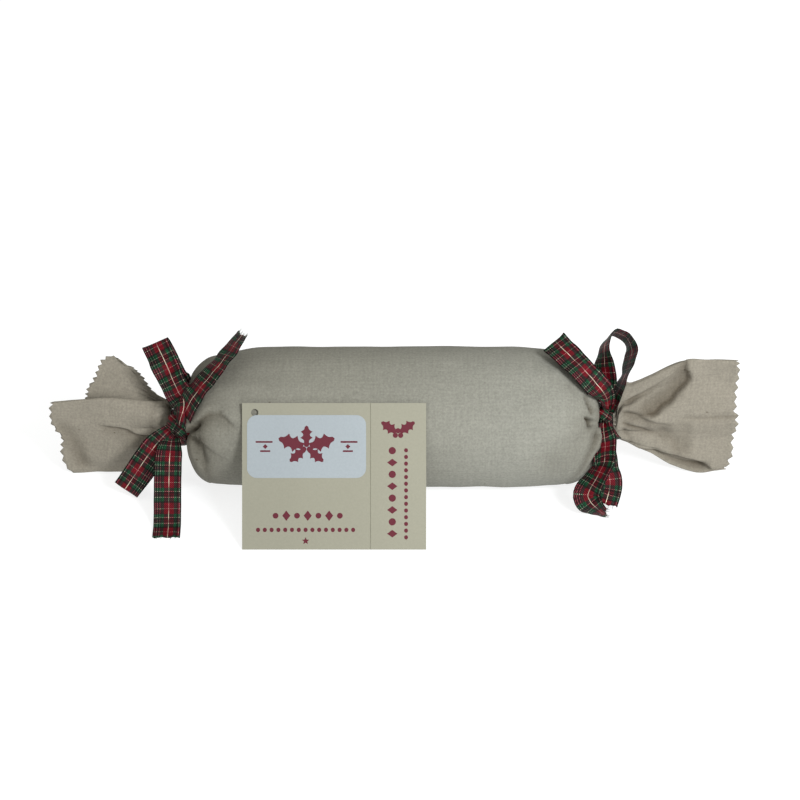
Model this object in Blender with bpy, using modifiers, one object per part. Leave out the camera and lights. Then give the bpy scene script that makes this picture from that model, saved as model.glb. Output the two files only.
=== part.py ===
"""A long Christmas pudding in its calico cloth: a roll gathered at both ends, two ribbon bows, a card tag.

The roll lies along X on a small flat spot. The origin is the middle of that flat spot.
"""

import math

import bmesh
import bpy
from mathutils import Matrix, Vector

MM = 0.001

# ---- driving dimensions, in millimetres ----
ROLL_RADIUS = 37.6          # radius of the wrapped roll at its middle
AXIS_HEIGHT = 36.0          # height of the roll's axis; the flat spot below it is 21 mm wide
LEFT_NECK_X = -116.5        # where the left ribbon gathers the cloth
RIGHT_NECK_X = 114.3        # where the right ribbon gathers the cloth
LEFT_END_X = -186.0         # cut edge of the left frill
RIGHT_END_X = 184.5         # cut edge of the right frill
NECK_PLEATS = 9             # pleats round each neck
PINKING_DEPTH = 2.4         # depth of the zigzag cut edge
FRILL_RECESS = 7.0          # how far the frill's open end goes in between its layers
GAP = 0.3                   # clearance between neighbouring solids

RIBBON_WIDTH = 14.6
RIBBON_THICKNESS = 0.8
LOOP_LAYER_GAP = 2.2            # extra clearance from the cloth of a loop's front layer over its back one
BUNCHED_SHARE = 0.42            # share of its width that the ribbon keeps where it enters a knot
BUNCHED_REACH = 15.0            # distance from the knot at which it is flat again
BOW_LEAN = math.radians(34.0)   # the bows lean back by this much from upright

TAG_WIDTH = 96.2
TAG_HEIGHT = 76.6
TAG_THICKNESS = 0.8
TAG_CENTRE_X = -32.0
TAG_SLOPE = math.radians(56.0)  # slope of the leaning tag, from the floor
TAG_HOLE_RADIUS = 1.9
TAG_HOLE_INSET = (6.6, 5.0)     # hole centre, in from the left edge and down from the top edge
TAG_FOLD_FROM_LEFT = 67.0       # the scored fold line, from the left edge
TAG_SCORE_DEPTH = 0.3

RING_POINTS = 64            # points round each section of the cloth

# ---- the roll: x, radius, centre y, centre z, pleat depth as a share of the radius ----
ROLL_STATIONS = [
    (-120.5, 7.6, -1.5, 30.5, 0.13),
    (-116.5, 7.2, -1.5, 30.5, 0.14),
    (-112.3, 7.8, -1.5, 30.8, 0.14),
    (-111.2, 14.0, -1.5, 31.5, 0.12),
    (-109.6, 23.0, -1.5, 32.6, 0.09),
    (-106.0, 29.6, -1.3, 34.0, 0.06),
    (-101.0, 33.2, -0.8, 35.0, 0.035),
    (-92.0, 35.8, -0.3, 35.7, 0.012),
    (-80.0, 36.9, 0.0, 36.0, 0.0),
    (-40.0, 37.4, 0.0, 36.0, 0.0),
    (0.0, 37.6, 0.0, 36.0, 0.0),
    (40.0, 37.6, 0.0, 36.0, 0.0),
    (80.0, 37.3, 0.0, 36.0, 0.0),
    (89.0, 36.7, 0.0, 36.0, 0.012),
    (96.0, 34.4, -0.2, 35.9, 0.03),
    (102.0, 30.4, -0.5, 35.6, 0.05),
    (106.2, 24.2, -0.8, 35.0, 0.08),
    (108.2, 17.5, -1.0, 34.4, 0.12),
    (109.5, 9.5, -1.0, 34.0, 0.14),
    (110.6, 7.4, -1.0, 34.0, 0.14),
    (114.3, 7.0, -1.0, 34.0, 0.14),
    (118.4, 7.8, -1.0, 34.0, 0.13),
]

# ---- the frills: x, bottom z, top z, middle y, half thickness of the folded layers ----
LEFT_FRILL = [
    (-120.5, 22.5, 38.5, -1.5, 8.0),
    (-126.0, 16.0, 48.0, -1.0, 9.0),
    (-134.0, 10.0, 52.0, 0.0, 9.0),
    (-142.0, 4.5, 54.0, 0.5, 8.5),
    (-150.0, 0.4, 52.0, 0.5, 8.0),
    (-160.0, 0.0, 50.5, 0.5, 7.5),
    (-172.0, 0.0, 49.0, 0.0, 7.0),
    (-186.0, 0.0, 46.5, -0.5, 6.5),
]
RIGHT_FRILL = [
    (118.4, 26.0, 42.0, -1.0, 8.0),
    (122.0, 22.0, 53.0, -0.5, 9.0),
    (128.0, 17.5, 60.0, 0.0, 10.0),
    (136.0, 12.0, 65.0, 1.0, 10.0),
    (146.0, 7.0, 69.5, 1.5, 9.5),
    (156.0, 2.2, 73.0, 2.0, 9.0),
    (166.0, 0.0, 74.0, 2.0, 8.5),
    (175.0, 1.4, 73.6, 2.0, 8.0),
    (184.5, 3.0, 72.6, 2.0, 7.5),
]
FRILL_WAVE_LENGTH = 27.0     # height of one fold of a frill's face
FRILL_WAVE_DEPTH = 3.2       # depth of those folds at the cut edge

# ---- the free corner of the cloth, standing up behind the left frill: x and z along its outline ----
CORNER_OUTLINE = [
    (-166.5, 30.0), (-165.5, 52.0), (-163.0, 60.0), (-160.5, 66.0), (-157.0, 73.0), (-152.0, 73.0),
    (-147.0, 69.0), (-141.0, 64.5), (-136.0, 57.0), (-131.0, 50.0), (-126.5, 42.0), (-128.0, 30.0),
]
CORNER_THICKNESS = 1.6
CORNER_FOOT_Y = 6.0          # where the corner leaves the frill
CORNER_LEAN = 0.12           # how far it leans back for each millimetre of height

# ---- ribbon strips: (x, up, out) from the knot's centre, then the direction across the ribbon ----
LEFT_KNOT = (-117.4, 39.0)   # x and height of the knot
LEFT_KNOT_OUT = 11.2         # distance of the knot in front of the bow plane through the axis
LEFT_KNOT_SIZE = (5.2, 8.0, 3.6)
LEFT_STRIPS = {
    "upper_loop": [
        ((0.6, 2.0, 1.2), (0.90, 0.20, 0.20)),
        ((0.3, 9.0, 3.0), (0.90, 0.20, 0.10)),
        ((-1.6, 20.0, 5.0), (0.93, 0.30, 0.0)),
        ((-5.4, 31.0, 4.6), (0.92, 0.38, 0.0)),
        ((-11.0, 42.2, 2.8), (0.91, 0.41, 0.0)),
        ((-12.0, 44.2, 1.0), (0.91, 0.41, 0.0)),
        ((-10.6, 42.2, -0.8), (0.91, 0.41, 0.0)),
        ((-3.8, 31.5, -1.2), (0.94, 0.34, 0.0)),
        ((1.4, 20.5, 0.0), (0.97, 0.20, 0.0)),
        ((2.0, 9.0, 0.2), (0.97, 0.10, 0.0)),
        ((1.2, 2.0, -0.8), (0.97, 0.10, 0.0)),
    ],
    "upper_tail": [
        ((2.6, 0.0, 0.0), (0.55, -0.10, -0.80)),
        ((4.6, 6.0, 7.0), (0.50, -0.20, -0.84)),
        ((8.0, 16.0, 15.0), (0.46, -0.36, -0.80)),
        ((14.2, 25.0, 15.8), (0.44, -0.34, -0.82)),
        ((22.0, 33.0, 10.8), (0.42, -0.34, -0.84)),
        ((28.6, 41.0, 4.6), (0.42, -0.34, -0.84)),
        ((35.0, 49.0, -2.0), (0.42, -0.34, -0.84)),
    ],
    "lower_loop": [
        ((-1.8, -2.0, 1.6), (-0.70, 0.60, 0.20)),
        ((-7.5, -8.0, 1.6), (-0.80, 0.58, 0.10)),
        ((-15.5, -18.4, -0.4), (-0.84, 0.54, 0.0)),
        ((-22.2, -28.0, -3.6), (-0.85, 0.53, 0.0)),
        ((-26.8, -34.2, -6.8), (-0.85, 0.53, 0.0)),
        ((-27.8, -35.2, -8.8), (-0.85, 0.53, 0.0)),
        ((-26.4, -33.4, -9.8), (-0.85, 0.53, 0.0)),
        ((-20.4, -26.0, -8.2), (-0.84, 0.54, 0.0)),
        ((-13.4, -17.0, -4.6), (-0.82, 0.56, 0.0)),
        ((-5.6, -7.4, -1.6), (-0.80, 0.60, 0.0)),
        ((-0.8, -2.0, -1.4), (-0.70, 0.66, 0.0)),
    ],
    "lower_tail": [
        ((-1.0, 0.0, 1.8), (1.0, 0.10, 0.0)),
        ((-3.0, -6.0, 4.0), (1.0, 0.08, 0.0)),
        ((-4.3, -16.0, 6.4), (1.0, 0.05, 0.0)),
        ((-5.3, -28.0, 8.0), (1.0, 0.02, 0.0)),
        ((-5.9, -40.0, 9.2), (1.0, 0.02, 0.0)),
        ((-6.4, -49.0, 10.8), (1.0, 0.0, 0.0)),
        ((-6.8, -54.5, 13.6), (1.0, 0.0, 0.0)),
        ((-7.0, -59.1, 19.2), (1.0, 0.0, 0.0)),
    ],
}

RIGHT_KNOT = (114.0, 44.2)
RIGHT_KNOT_OUT = 11.2
RIGHT_KNOT_SIZE = (3.8, 6.2, 3.6)
RIGHT_STRIPS = {
    "upper_loop": [
        ((-0.6, 1.0, 1.2), (0.80, 0.30, 0.10)),
        ((-2.9, 8.6, 9.0), (0.80, 0.46, -0.10)),
        ((-9.0, 17.0, 18.4), (0.76, 0.52, -0.38)),
        ((-14.0, 23.2, 19.6), (0.73, 0.54, -0.42)),
        ((-20.9, 30.8, 16.4), (0.74, 0.58, -0.34)),
        ((-26.6, 37.0, 12.0), (0.75, 0.62, -0.22)),
        ((-27.8, 38.4, 10.0), (0.75, 0.62, -0.20)),
        ((-26.2, 36.8, 8.6), (0.75, 0.62, -0.22)),
        ((-20.0, 30.6, 12.2), (0.74, 0.58, -0.34)),
        ((-13.0, 22.6, 15.6), (0.73, 0.54, -0.42)),
        ((-8.0, 15.8, 14.0), (0.76, 0.52, -0.38)),
        ((-2.2, 7.6, 5.4), (0.80, 0.46, -0.10)),
        ((-0.2, 0.6, -0.8), (0.80, 0.30, 0.10)),
    ],
    "open_loop": [
        ((-0.6, 2.0, 0.8), (0.70, 0.10, 0.70)),
        ((-1.6, 10.0, 2.0), (0.72, 0.05, 0.69)),
        ((-1.6, 22.0, 4.0), (0.66, 0.10, 0.74)),
        ((0.8, 33.0, 2.6), (0.50, 0.24, 0.83)),
        ((3.8, 41.0, 0.6), (0.34, 0.30, 0.89)),
        ((8.4, 44.6, -1.0), (0.26, 0.10, 0.96)),
        ((13.4, 40.6, -2.0), (0.36, -0.06, 0.93)),
        ((15.0, 33.0, 0.6), (0.44, -0.06, 0.89)),
        ((12.8, 22.0, 4.6), (0.46, 0.0, 0.88)),
        ((7.4, 10.0, 5.4), (0.50, 0.10, 0.85)),
        ((2.0, 2.0, 1.6), (0.50, 0.10, 0.85)),
    ],
    "front_tail": [
        ((-0.6, 0.0, 1.8), (0.96, 0.06, 0.20)),
        ((-0.8, -8.0, 4.4), (0.96, 0.06, 0.20)),
        ((-0.6, -17.0, 6.8), (0.96, 0.10, 0.20)),
        ((-3.0, -27.0, 8.4), (0.90, 0.30, 0.26)),
        ((-7.6, -36.4, 9.0), (0.86, 0.44, 0.22)),
        ((-10.6, -44.0, 9.2), (0.84, 0.50, 0.16)),
        ((-8.4, -50.6, 9.0), (0.74, 0.62, 0.24)),
        ((-2.6, -55.4, 8.0), (0.62, 0.66, 0.40)),
    ],
    "back_tail": [
        ((0.6, -1.0, -0.6), (0.96, 0.0, 0.10)),
        ((1.6, -9.0, 0.6), (0.97, 0.0, 0.10)),
        ((2.0, -19.0, 1.8), (0.97, 0.0, 0.10)),
        ((3.2, -29.0, 2.8), (0.98, 0.06, 0.10)),
        ((3.0, -38.6, 3.2), (0.98, 0.06, 0.06)),
        ((1.0, -48.0, 2.6), (0.99, 0.06, 0.0)),
    ],
}
STRIP_STEPS = 3              # sections between two points of a strip
PUSH_STEP = 0.2              # a ribbon too near the cloth is moved out by this much at a time
MOST_PUSHES = 90
STRIP_HEIGHT_LEAST = 0.5     # lowest middle of a strip lying on the floor

BAND_HALF_WIDTH = 3.9
BAND_HALF_THICKNESS = 0.8
BAND_RADIUS = 9.5


def ease(start, end, value):
    """Rise smoothly from 0 at start to 1 at end."""
    share = min(1.0, max(0.0, (value - start) / (end - start)))
    return share * share * (3.0 - 2.0 * share)


def read_off(rows, x):
    """Interpolate rows of (x, value, value, ...) at x, with a straight line between two rows."""
    rows = sorted(rows)
    if x <= rows[0][0]:
        return rows[0][1:]
    for before, after in zip(rows, rows[1:]):
        if x <= after[0]:
            share = (x - before[0]) / (after[0] - before[0])
            return tuple(a + (b - a) * share for a, b in zip(before[1:], after[1:]))
    return rows[-1][1:]


def pleat(angle, count):
    """Depth of pleats round a neck: rounded ridges with sharp valleys between them, from -1 to 1."""
    return 1.0 - 2.0 * (1.0 - abs(math.sin(count * angle / 2.0))) ** 1.5


def roll_section(x):
    """Points round the roll, its shoulders and its necks at x, from the top over the front."""
    radius, centre_y, centre_z, depth = read_off(ROLL_STATIONS, x)
    points = []
    for step in range(RING_POINTS):
        angle = math.tau * step / RING_POINTS
        reach = radius * (1.0 + depth * pleat(angle, NECK_PLEATS))
        y = centre_y - reach * math.sin(angle)
        z = centre_z + reach * math.cos(angle)
        points.append((y, max(0.0, z)))
    return points


def frill_section(x, rows, neck_x, end_x):
    """Points round a flattened, folded frill at x, from the top over the front."""
    bottom, top, middle_y, half_thickness = read_off(rows, x)
    spread = ease(neck_x, end_x, x) if end_x > neck_x else ease(-neck_x, -end_x, -x)
    wave_depth = FRILL_WAVE_DEPTH * (0.35 + 0.65 * spread)
    half = RING_POINTS // 2
    points = []
    for step in range(RING_POINTS):
        front = step <= half
        height = 1.0 - step / half if front else (step - half) / half
        z = bottom + (top - bottom) * height
        edge = (1.0 - abs(2.0 * height - 1.0) ** 5) ** 0.5
        wave = wave_depth * math.sin(math.tau * (z - bottom) / FRILL_WAVE_LENGTH + 0.6)
        side = -1.0 if front else 1.0
        points.append((middle_y + wave * edge + side * half_thickness * edge, z))
    return points


def cloth_section(x):
    """Points round the cloth at any x: the roll, or a frill that takes over past its neck."""
    if x > 118.4:
        share = ease(118.4, 134.0, x)
        frill = frill_section(x, RIGHT_FRILL, RIGHT_NECK_X, RIGHT_END_X)
    elif x < -120.5:
        share = ease(120.5, 136.0, -x)
        frill = frill_section(x, LEFT_FRILL, LEFT_NECK_X, LEFT_END_X)
    else:
        return roll_section(x)
    bottom, top = read_off(LEFT_FRILL if x < 0.0 else RIGHT_FRILL, x)[:2]
    blended = []
    for (y_neck, z_neck), (y_frill, z_frill) in zip(bunch_section(x, bottom, top), frill):
        blended.append((y_neck + (y_frill - y_neck) * share, z_neck + (z_frill - z_neck) * share))
    return blended


def bunch_section(x, bottom, top):
    """Points round the pleated bunch of cloth just outside a neck, as tall as the frill there."""
    neck = read_off(ROLL_STATIONS, x)
    half_height = (top - bottom) / 2.0
    points = []
    for step in range(RING_POINTS):
        angle = math.tau * step / RING_POINTS
        reach = 1.0 + neck[3] * pleat(angle, NECK_PLEATS)
        half_depth = min(half_height, neck[0] + 1.6)
        y = neck[1] - half_depth * reach * math.sin(angle)
        z = (bottom + top) / 2.0 + half_height * reach * math.cos(angle)
        points.append((y, z))
    return points


def new_object(name, mesh, collection):
    made = bpy.data.objects.new(name, mesh)
    collection.objects.link(made)
    return made


def material(name, colour, roughness):
    made = bpy.data.materials.new(name)
    made.use_nodes = True
    shader = made.node_tree.nodes["Principled BSDF"]
    shader.inputs["Base Color"].default_value = (*colour, 1.0)
    shader.inputs["Roughness"].default_value = roughness
    shader.inputs["Metallic"].default_value = 0.0
    made.diffuse_color = (*colour, 1.0)
    return made


def ring_positions():
    """Places along X of the cloth's sections: close together where the shape turns quickly."""
    left = [LEFT_END_X, -184.0, -178.0, -171.0, -164.0, -157.0, -150.0, -143.0, -137.0, -132.0, -128.0, -124.0]
    shoulders = [station[0] for station in ROLL_STATIONS]
    right = [120.5, 123.0, 127.0, 132.0, 138.0, 145.0, 152.0, 159.0, 166.0, 174.0, 182.0, RIGHT_END_X]
    return left + shoulders + right


def cap_frill(mesh, ring, inward):
    """Close a frill's end across its thickness, with a groove between its layers."""
    half = RING_POINTS // 2
    middles = {}
    for step in range(2, half - 1):
        centre = (ring[step].co + ring[-step].co) / 2.0
        centre.x += inward * FRILL_RECESS * MM * ease(1.0, 6.0, min(step, half - step))
        middles[step] = mesh.verts.new(centre)
    for step in range(2, half - 2):
        mesh.faces.new((ring[step], ring[step + 1], middles[step + 1], middles[step]))
        mesh.faces.new((middles[step], middles[step + 1], ring[-step - 1], ring[-step]))
    mesh.faces.new((ring[1], ring[2], middles[2], ring[-2], ring[-1], ring[0]))
    last = half - 2
    mesh.faces.new((ring[last], ring[half - 1], ring[half], ring[half + 1], ring[-last], middles[last]))


def wrapped_pudding(collection, cutters):
    """The roll of pudding in its cloth, with both frills and the free corner, as one solid."""
    mesh = bmesh.new()
    rings = []
    for x in ring_positions():
        zigzag = PINKING_DEPTH / 2.0 if x in (LEFT_END_X, RIGHT_END_X) else 0.0
        ring = []
        for step, (y, z) in enumerate(cloth_section(x)):
            shift = zigzag if step % 2 else -zigzag
            ring.append(mesh.verts.new(Vector((x + shift, y, z)) * MM))
        rings.append(ring)
    for before, after in zip(rings, rings[1:]):
        for step in range(RING_POINTS):
            following = (step + 1) % RING_POINTS
            mesh.faces.new((before[step], before[following], after[following], after[step]))
    cap_frill(mesh, rings[0], 1.0)
    cap_frill(mesh, rings[-1], -1.0)
    bmesh.ops.triangulate(mesh, faces=mesh.faces)
    bmesh.ops.recalc_face_normals(mesh, faces=mesh.faces)
    data = bpy.data.meshes.new("wrapped_pudding")
    mesh.to_mesh(data)
    mesh.free()
    pudding = new_object("wrapped_pudding", data, collection)
    join(pudding, [free_corner(cutters)], cutters)
    pudding.data.materials.append(material("calico", (0.36, 0.35, 0.29), 0.9))
    return pudding


def free_corner(cutters):
    """The corner of the cloth that stands up behind the left frill, a thin leaning sheet."""
    mesh = bmesh.new()
    outline = []
    for x, z in CORNER_OUTLINE:
        y = CORNER_FOOT_Y + CORNER_LEAN * (z - CORNER_OUTLINE[0][1])
        outline.append(mesh.verts.new(Vector((x, y, z)) * MM))
    mesh.faces.new(outline)
    data = bpy.data.meshes.new("free_corner")
    mesh.to_mesh(data)
    mesh.free()
    corner = new_object("free_corner", data, cutters)
    shell = corner.modifiers.new("thickness", "SOLIDIFY")
    shell.thickness = CORNER_THICKNESS * MM
    shell.offset = 0.0
    return corner


def join(target, operands, cutters):
    """Union all the operands onto the target in one step."""
    group = bpy.data.collections.new(target.name + "_parts")
    cutters.children.link(group)
    for operand in operands:
        into(group, operand)
        operand.hide_render = True
        operand.display_type = "WIRE"
    union = target.modifiers.new("join", "BOOLEAN")
    union.operation = "UNION"
    union.solver = "EXACT"
    union.use_self = True
    union.operand_type = "COLLECTION"
    union.collection = group


def bow_axes():
    """The bow's directions: along the roll, up its leaning plane, and out of that plane."""
    along = Vector((1.0, 0.0, 0.0))
    up = Vector((0.0, math.sin(BOW_LEAN), math.cos(BOW_LEAN)))
    out = Vector((0.0, -math.cos(BOW_LEAN), math.sin(BOW_LEAN)))
    return along, up, out


def knot_centre(knot, knot_out):
    """The knot's centre: a given height, and a given distance out from the plane through the axis."""
    x, z = knot
    _, up, out = bow_axes()
    rise = (z - AXIS_HEIGHT - knot_out * out.z) / up.z
    return Vector((x, 0.0, AXIS_HEIGHT)) + up * rise + out * knot_out


def curve_through(values, steps):
    """Points of a smooth curve through the given vectors (Catmull-Rom)."""
    padded = [values[0] * 2.0 - values[1]] + values + [values[-1] * 2.0 - values[-2]]
    points = []
    for first, start, end, last in zip(padded, padded[1:], padded[2:], padded[3:]):
        for step in range(steps):
            share = step / steps
            square = share * share
            cube = square * share
            points.append(0.5 * (2.0 * start + (end - first) * share
                                 + (2.0 * first - 5.0 * start + 4.0 * end - last) * square
                                 + (3.0 * start - first - 3.0 * end + last) * cube))
    points.append(values[-1])
    return points


def distance_to_section(section, y, z):
    """Distance from a point to the outline of a section, and whether the point is inside it."""
    nearest = math.inf
    inside = False
    for (y1, z1), (y2, z2) in zip(section, section[1:] + section[:1]):
        run_y, run_z = y2 - y1, z2 - z1
        length = max(1e-9, run_y * run_y + run_z * run_z)
        share = min(1.0, max(0.0, ((y - y1) * run_y + (z - z1) * run_z) / length))
        nearest = min(nearest, math.hypot(y1 + run_y * share - y, z1 + run_z * share - z))
        if (z1 > z) != (z2 > z) and y < y1 + run_y * (z - z1) / run_z:
            inside = not inside
    return nearest, inside


def clear_of_cloth(point, spare):
    """Move a ribbon point outwards until it clears the cloth on its own section and those beside it."""
    least = RIBBON_THICKNESS / 2.0 + GAP + spare
    push = bow_axes()[2]
    if ROLL_STATIONS[0][0] < point.x < ROLL_STATIONS[-1][0]:
        _, centre_y, centre_z, _ = read_off(ROLL_STATIONS, point.x)
        push = Vector((0.0, point.y - centre_y, point.z - centre_z)).normalized()
    sections = [cloth_section(point.x + shift) for shift in (-RIBBON_THICKNESS, 0.0, RIBBON_THICKNESS)]
    for _ in range(MOST_PUSHES):
        found = [distance_to_section(section, point.y, point.z) for section in sections]
        if all(distance > least and not inside for distance, inside in found):
            break
        point = point + push * PUSH_STEP
    return point


def ribbon_strip(name, rows, centre, cutters):
    """One free strip of ribbon: a smooth flat band through its points, with real thickness."""
    along, up, out = bow_axes()
    path = [centre + along * x + up * u + out * o for (x, u, o), _ in rows]
    across = [(along * x + up * u + out * o).normalized() for _, (x, u, o) in rows]
    mesh = bmesh.new()
    previous = None
    points = curve_through(path, STRIP_STEPS)
    front_layer = LOOP_LAYER_GAP if name.endswith(("upper_loop", "lower_loop")) else 0.0
    for step, (point, side) in enumerate(zip(points, curve_through(across, STRIP_STEPS))):
        row = []
        spare = front_layer * (1.0 - ease(0.4, 0.6, step / len(points)))
        spread = ease(0.0, BUNCHED_REACH, (point - centre).length)
        width = RIBBON_WIDTH * (BUNCHED_SHARE + (1.0 - BUNCHED_SHARE) * spread)
        for share in (-0.5, 0.5):
            place = clear_of_cloth(point + side.normalized() * width * share, spare)
            place.z = max(place.z, STRIP_HEIGHT_LEAST)
            row.append(mesh.verts.new(place * MM))
        if previous:
            mesh.faces.new((previous[0], previous[1], row[1], row[0]))
        previous = row
    data = bpy.data.meshes.new(name)
    mesh.to_mesh(data)
    mesh.free()
    strip = new_object(name, data, cutters)
    shell = strip.modifiers.new("thickness", "SOLIDIFY")
    shell.thickness = RIBBON_THICKNESS * MM
    shell.offset = 0.0
    return strip


def into(collection, made):
    for held in list(made.users_collection):
        held.objects.unlink(made)
    collection.objects.link(made)


def ribbon(side, knot, knot_out, knot_size, strips, neck_x, collection, cutters):
    """A ribbon tied round one neck: the band, its knot, the loops and the tails, in one piece."""
    centre = knot_centre(knot, knot_out)
    _, neck_y, neck_z, _ = read_off(ROLL_STATIONS, neck_x)
    bpy.ops.mesh.primitive_torus_add(major_segments=28, minor_segments=6, major_radius=BAND_RADIUS * MM,
                                     minor_radius=BAND_HALF_THICKNESS * MM)
    band = bpy.context.object
    band.name = "ribbon_" + side
    stretch = Matrix.Diagonal((1.0, 1.0, BAND_HALF_WIDTH / BAND_HALF_THICKNESS, 1.0))
    band.data.transform(Matrix.Rotation(math.pi / 2.0, 4, "Y") @ stretch)
    band.location = Vector((neck_x, neck_y, neck_z)) * MM
    into(collection, band)

    bpy.ops.mesh.primitive_uv_sphere_add(segments=16, ring_count=8, radius=1.0)
    middle = bpy.context.object
    middle.name = side + "_knot"
    middle.data.transform(Matrix.Rotation(BOW_LEAN, 4, "X").inverted()
                          @ Matrix.Diagonal((knot_size[0] * MM, knot_size[2] * MM, knot_size[1] * MM, 1.0)))
    middle.location = centre * MM
    into(cutters, middle)

    parts = [middle]
    for name, rows in strips.items():
        parts.append(ribbon_strip(side + "_" + name, rows, centre, cutters))
    join(band, parts, cutters)
    band.data.materials.append(material("ribbon_" + side, (0.22, 0.03, 0.04), 0.6))
    return band


def cut(target, cutter, cutters):
    """Cut one shape out of the target."""
    into(cutters, cutter)
    cutter.hide_render = True
    cutter.display_type = "WIRE"
    difference = target.modifiers.new(cutter.name, "BOOLEAN")
    difference.operation = "DIFFERENCE"
    difference.solver = "EXACT"
    difference.object = cutter


def tag_card(collection, cutters):
    """The card tag: a thin board with a punched hole and a scored fold, leaning on the roll."""
    bpy.ops.mesh.primitive_cube_add(size=1.0)
    tag = bpy.context.object
    tag.name = "tag_card"
    tag.data.transform(Matrix.Diagonal((TAG_WIDTH * MM, TAG_HEIGHT * MM, TAG_THICKNESS * MM, 1.0)))
    into(collection, tag)

    # The card's back touches the roll but for the gap, and its lower back edge stands on the floor.
    out = Vector((0.0, -math.sin(TAG_SLOPE), math.cos(TAG_SLOPE)))
    up = Vector((0.0, math.cos(TAG_SLOPE), math.sin(TAG_SLOPE)))
    back = ROLL_RADIUS + GAP
    foot = -(AXIS_HEIGHT + back * out.z) / up.z
    middle = Vector((TAG_CENTRE_X, 0.0, AXIS_HEIGHT))
    middle += out * (back + TAG_THICKNESS / 2.0) + up * (foot + TAG_HEIGHT / 2.0)
    tag.matrix_world = Matrix.Translation(middle * MM) @ Matrix.Rotation(TAG_SLOPE, 4, "X")

    depth = 4.0 * TAG_THICKNESS * MM
    bpy.ops.mesh.primitive_cylinder_add(vertices=24, radius=TAG_HOLE_RADIUS * MM, depth=depth)
    hole = bpy.context.object
    hole.name = "tag_hole"
    corner = Vector((TAG_HOLE_INSET[0] - TAG_WIDTH / 2.0, TAG_HEIGHT / 2.0 - TAG_HOLE_INSET[1], 0.0))
    hole.matrix_world = tag.matrix_world @ Matrix.Translation(corner * MM)
    cut(tag, hole, cutters)

    bpy.ops.mesh.primitive_cube_add(size=TAG_SCORE_DEPTH * math.sqrt(2.0) * MM)
    score = bpy.context.object
    score.name = "tag_fold"
    length = 1.2 * TAG_HEIGHT / (TAG_SCORE_DEPTH * math.sqrt(2.0))
    score.data.transform(Matrix.Diagonal((1.0, length, 1.0, 1.0)) @ Matrix.Rotation(math.pi / 4.0, 4, "Y"))
    line = Vector((TAG_FOLD_FROM_LEFT - TAG_WIDTH / 2.0, 0.0, TAG_THICKNESS / 2.0))
    score.matrix_world = tag.matrix_world @ Matrix.Translation(line * MM)
    cut(tag, score, cutters)
    tag.data.materials.append(material("card", (0.40, 0.38, 0.28), 0.8))
    return tag


def main():
    for old in list(bpy.data.objects):
        bpy.data.objects.remove(old)
    parts = bpy.data.collections.new("christmas_pudding")
    cutters = bpy.data.collections.new("cutters")
    bpy.context.scene.collection.children.link(parts)
    bpy.context.scene.collection.children.link(cutters)
    wrapped_pudding(parts, cutters)
    ribbon("left", LEFT_KNOT, LEFT_KNOT_OUT, LEFT_KNOT_SIZE, LEFT_STRIPS, LEFT_NECK_X, parts, cutters)
    ribbon("right", RIGHT_KNOT, RIGHT_KNOT_OUT, RIGHT_KNOT_SIZE, RIGHT_STRIPS, RIGHT_NECK_X, parts, cutters)
    tag_card(parts, cutters)


if __name__ == "__main__":
    main()
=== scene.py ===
"""Christmas pudding in a calico cloth, with two tartan bows and a card tag: the visible pieces and the studio."""

import math

import bpy
import numpy as np
from bpy.props import FloatProperty, FloatVectorProperty, PointerProperty
from mathutils import Matrix, Vector, noise
from mathutils.bvhtree import BVHTree


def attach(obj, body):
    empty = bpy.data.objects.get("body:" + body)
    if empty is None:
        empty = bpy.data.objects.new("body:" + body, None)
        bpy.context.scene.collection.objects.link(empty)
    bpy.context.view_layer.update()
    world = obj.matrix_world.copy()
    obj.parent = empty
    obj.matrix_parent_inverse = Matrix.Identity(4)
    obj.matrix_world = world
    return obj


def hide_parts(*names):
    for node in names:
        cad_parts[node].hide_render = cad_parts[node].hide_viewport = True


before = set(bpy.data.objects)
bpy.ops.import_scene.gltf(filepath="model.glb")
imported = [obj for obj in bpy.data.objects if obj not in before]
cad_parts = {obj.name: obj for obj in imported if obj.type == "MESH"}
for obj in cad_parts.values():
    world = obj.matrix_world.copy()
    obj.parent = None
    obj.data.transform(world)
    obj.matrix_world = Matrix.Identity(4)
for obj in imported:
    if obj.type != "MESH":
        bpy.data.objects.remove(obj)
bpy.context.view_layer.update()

bl_info = {
    "name": "Christmas Pudding",
    "version": (1, 0, 0),
    "blender": (4, 5, 0),
    "location": "View3D > Sidebar > Pudding",
    "description": "A cloth-wrapped Christmas pudding with tartan bows and a card tag",
    "category": "Object",
}

MM = 0.001
LEAN = math.radians(34.0)       # the bows and the drawing plane of the folds lean back by this much
ALONG = np.array((1.0, 0.0, 0.0))
UP = np.array((0.0, math.sin(LEAN), math.cos(LEAN)))
OUT = np.array((0.0, -math.cos(LEAN), math.sin(LEAN)))
AXIS_HEIGHT = 36.0              # height of the roll's axis, in millimetres like every size below

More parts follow.
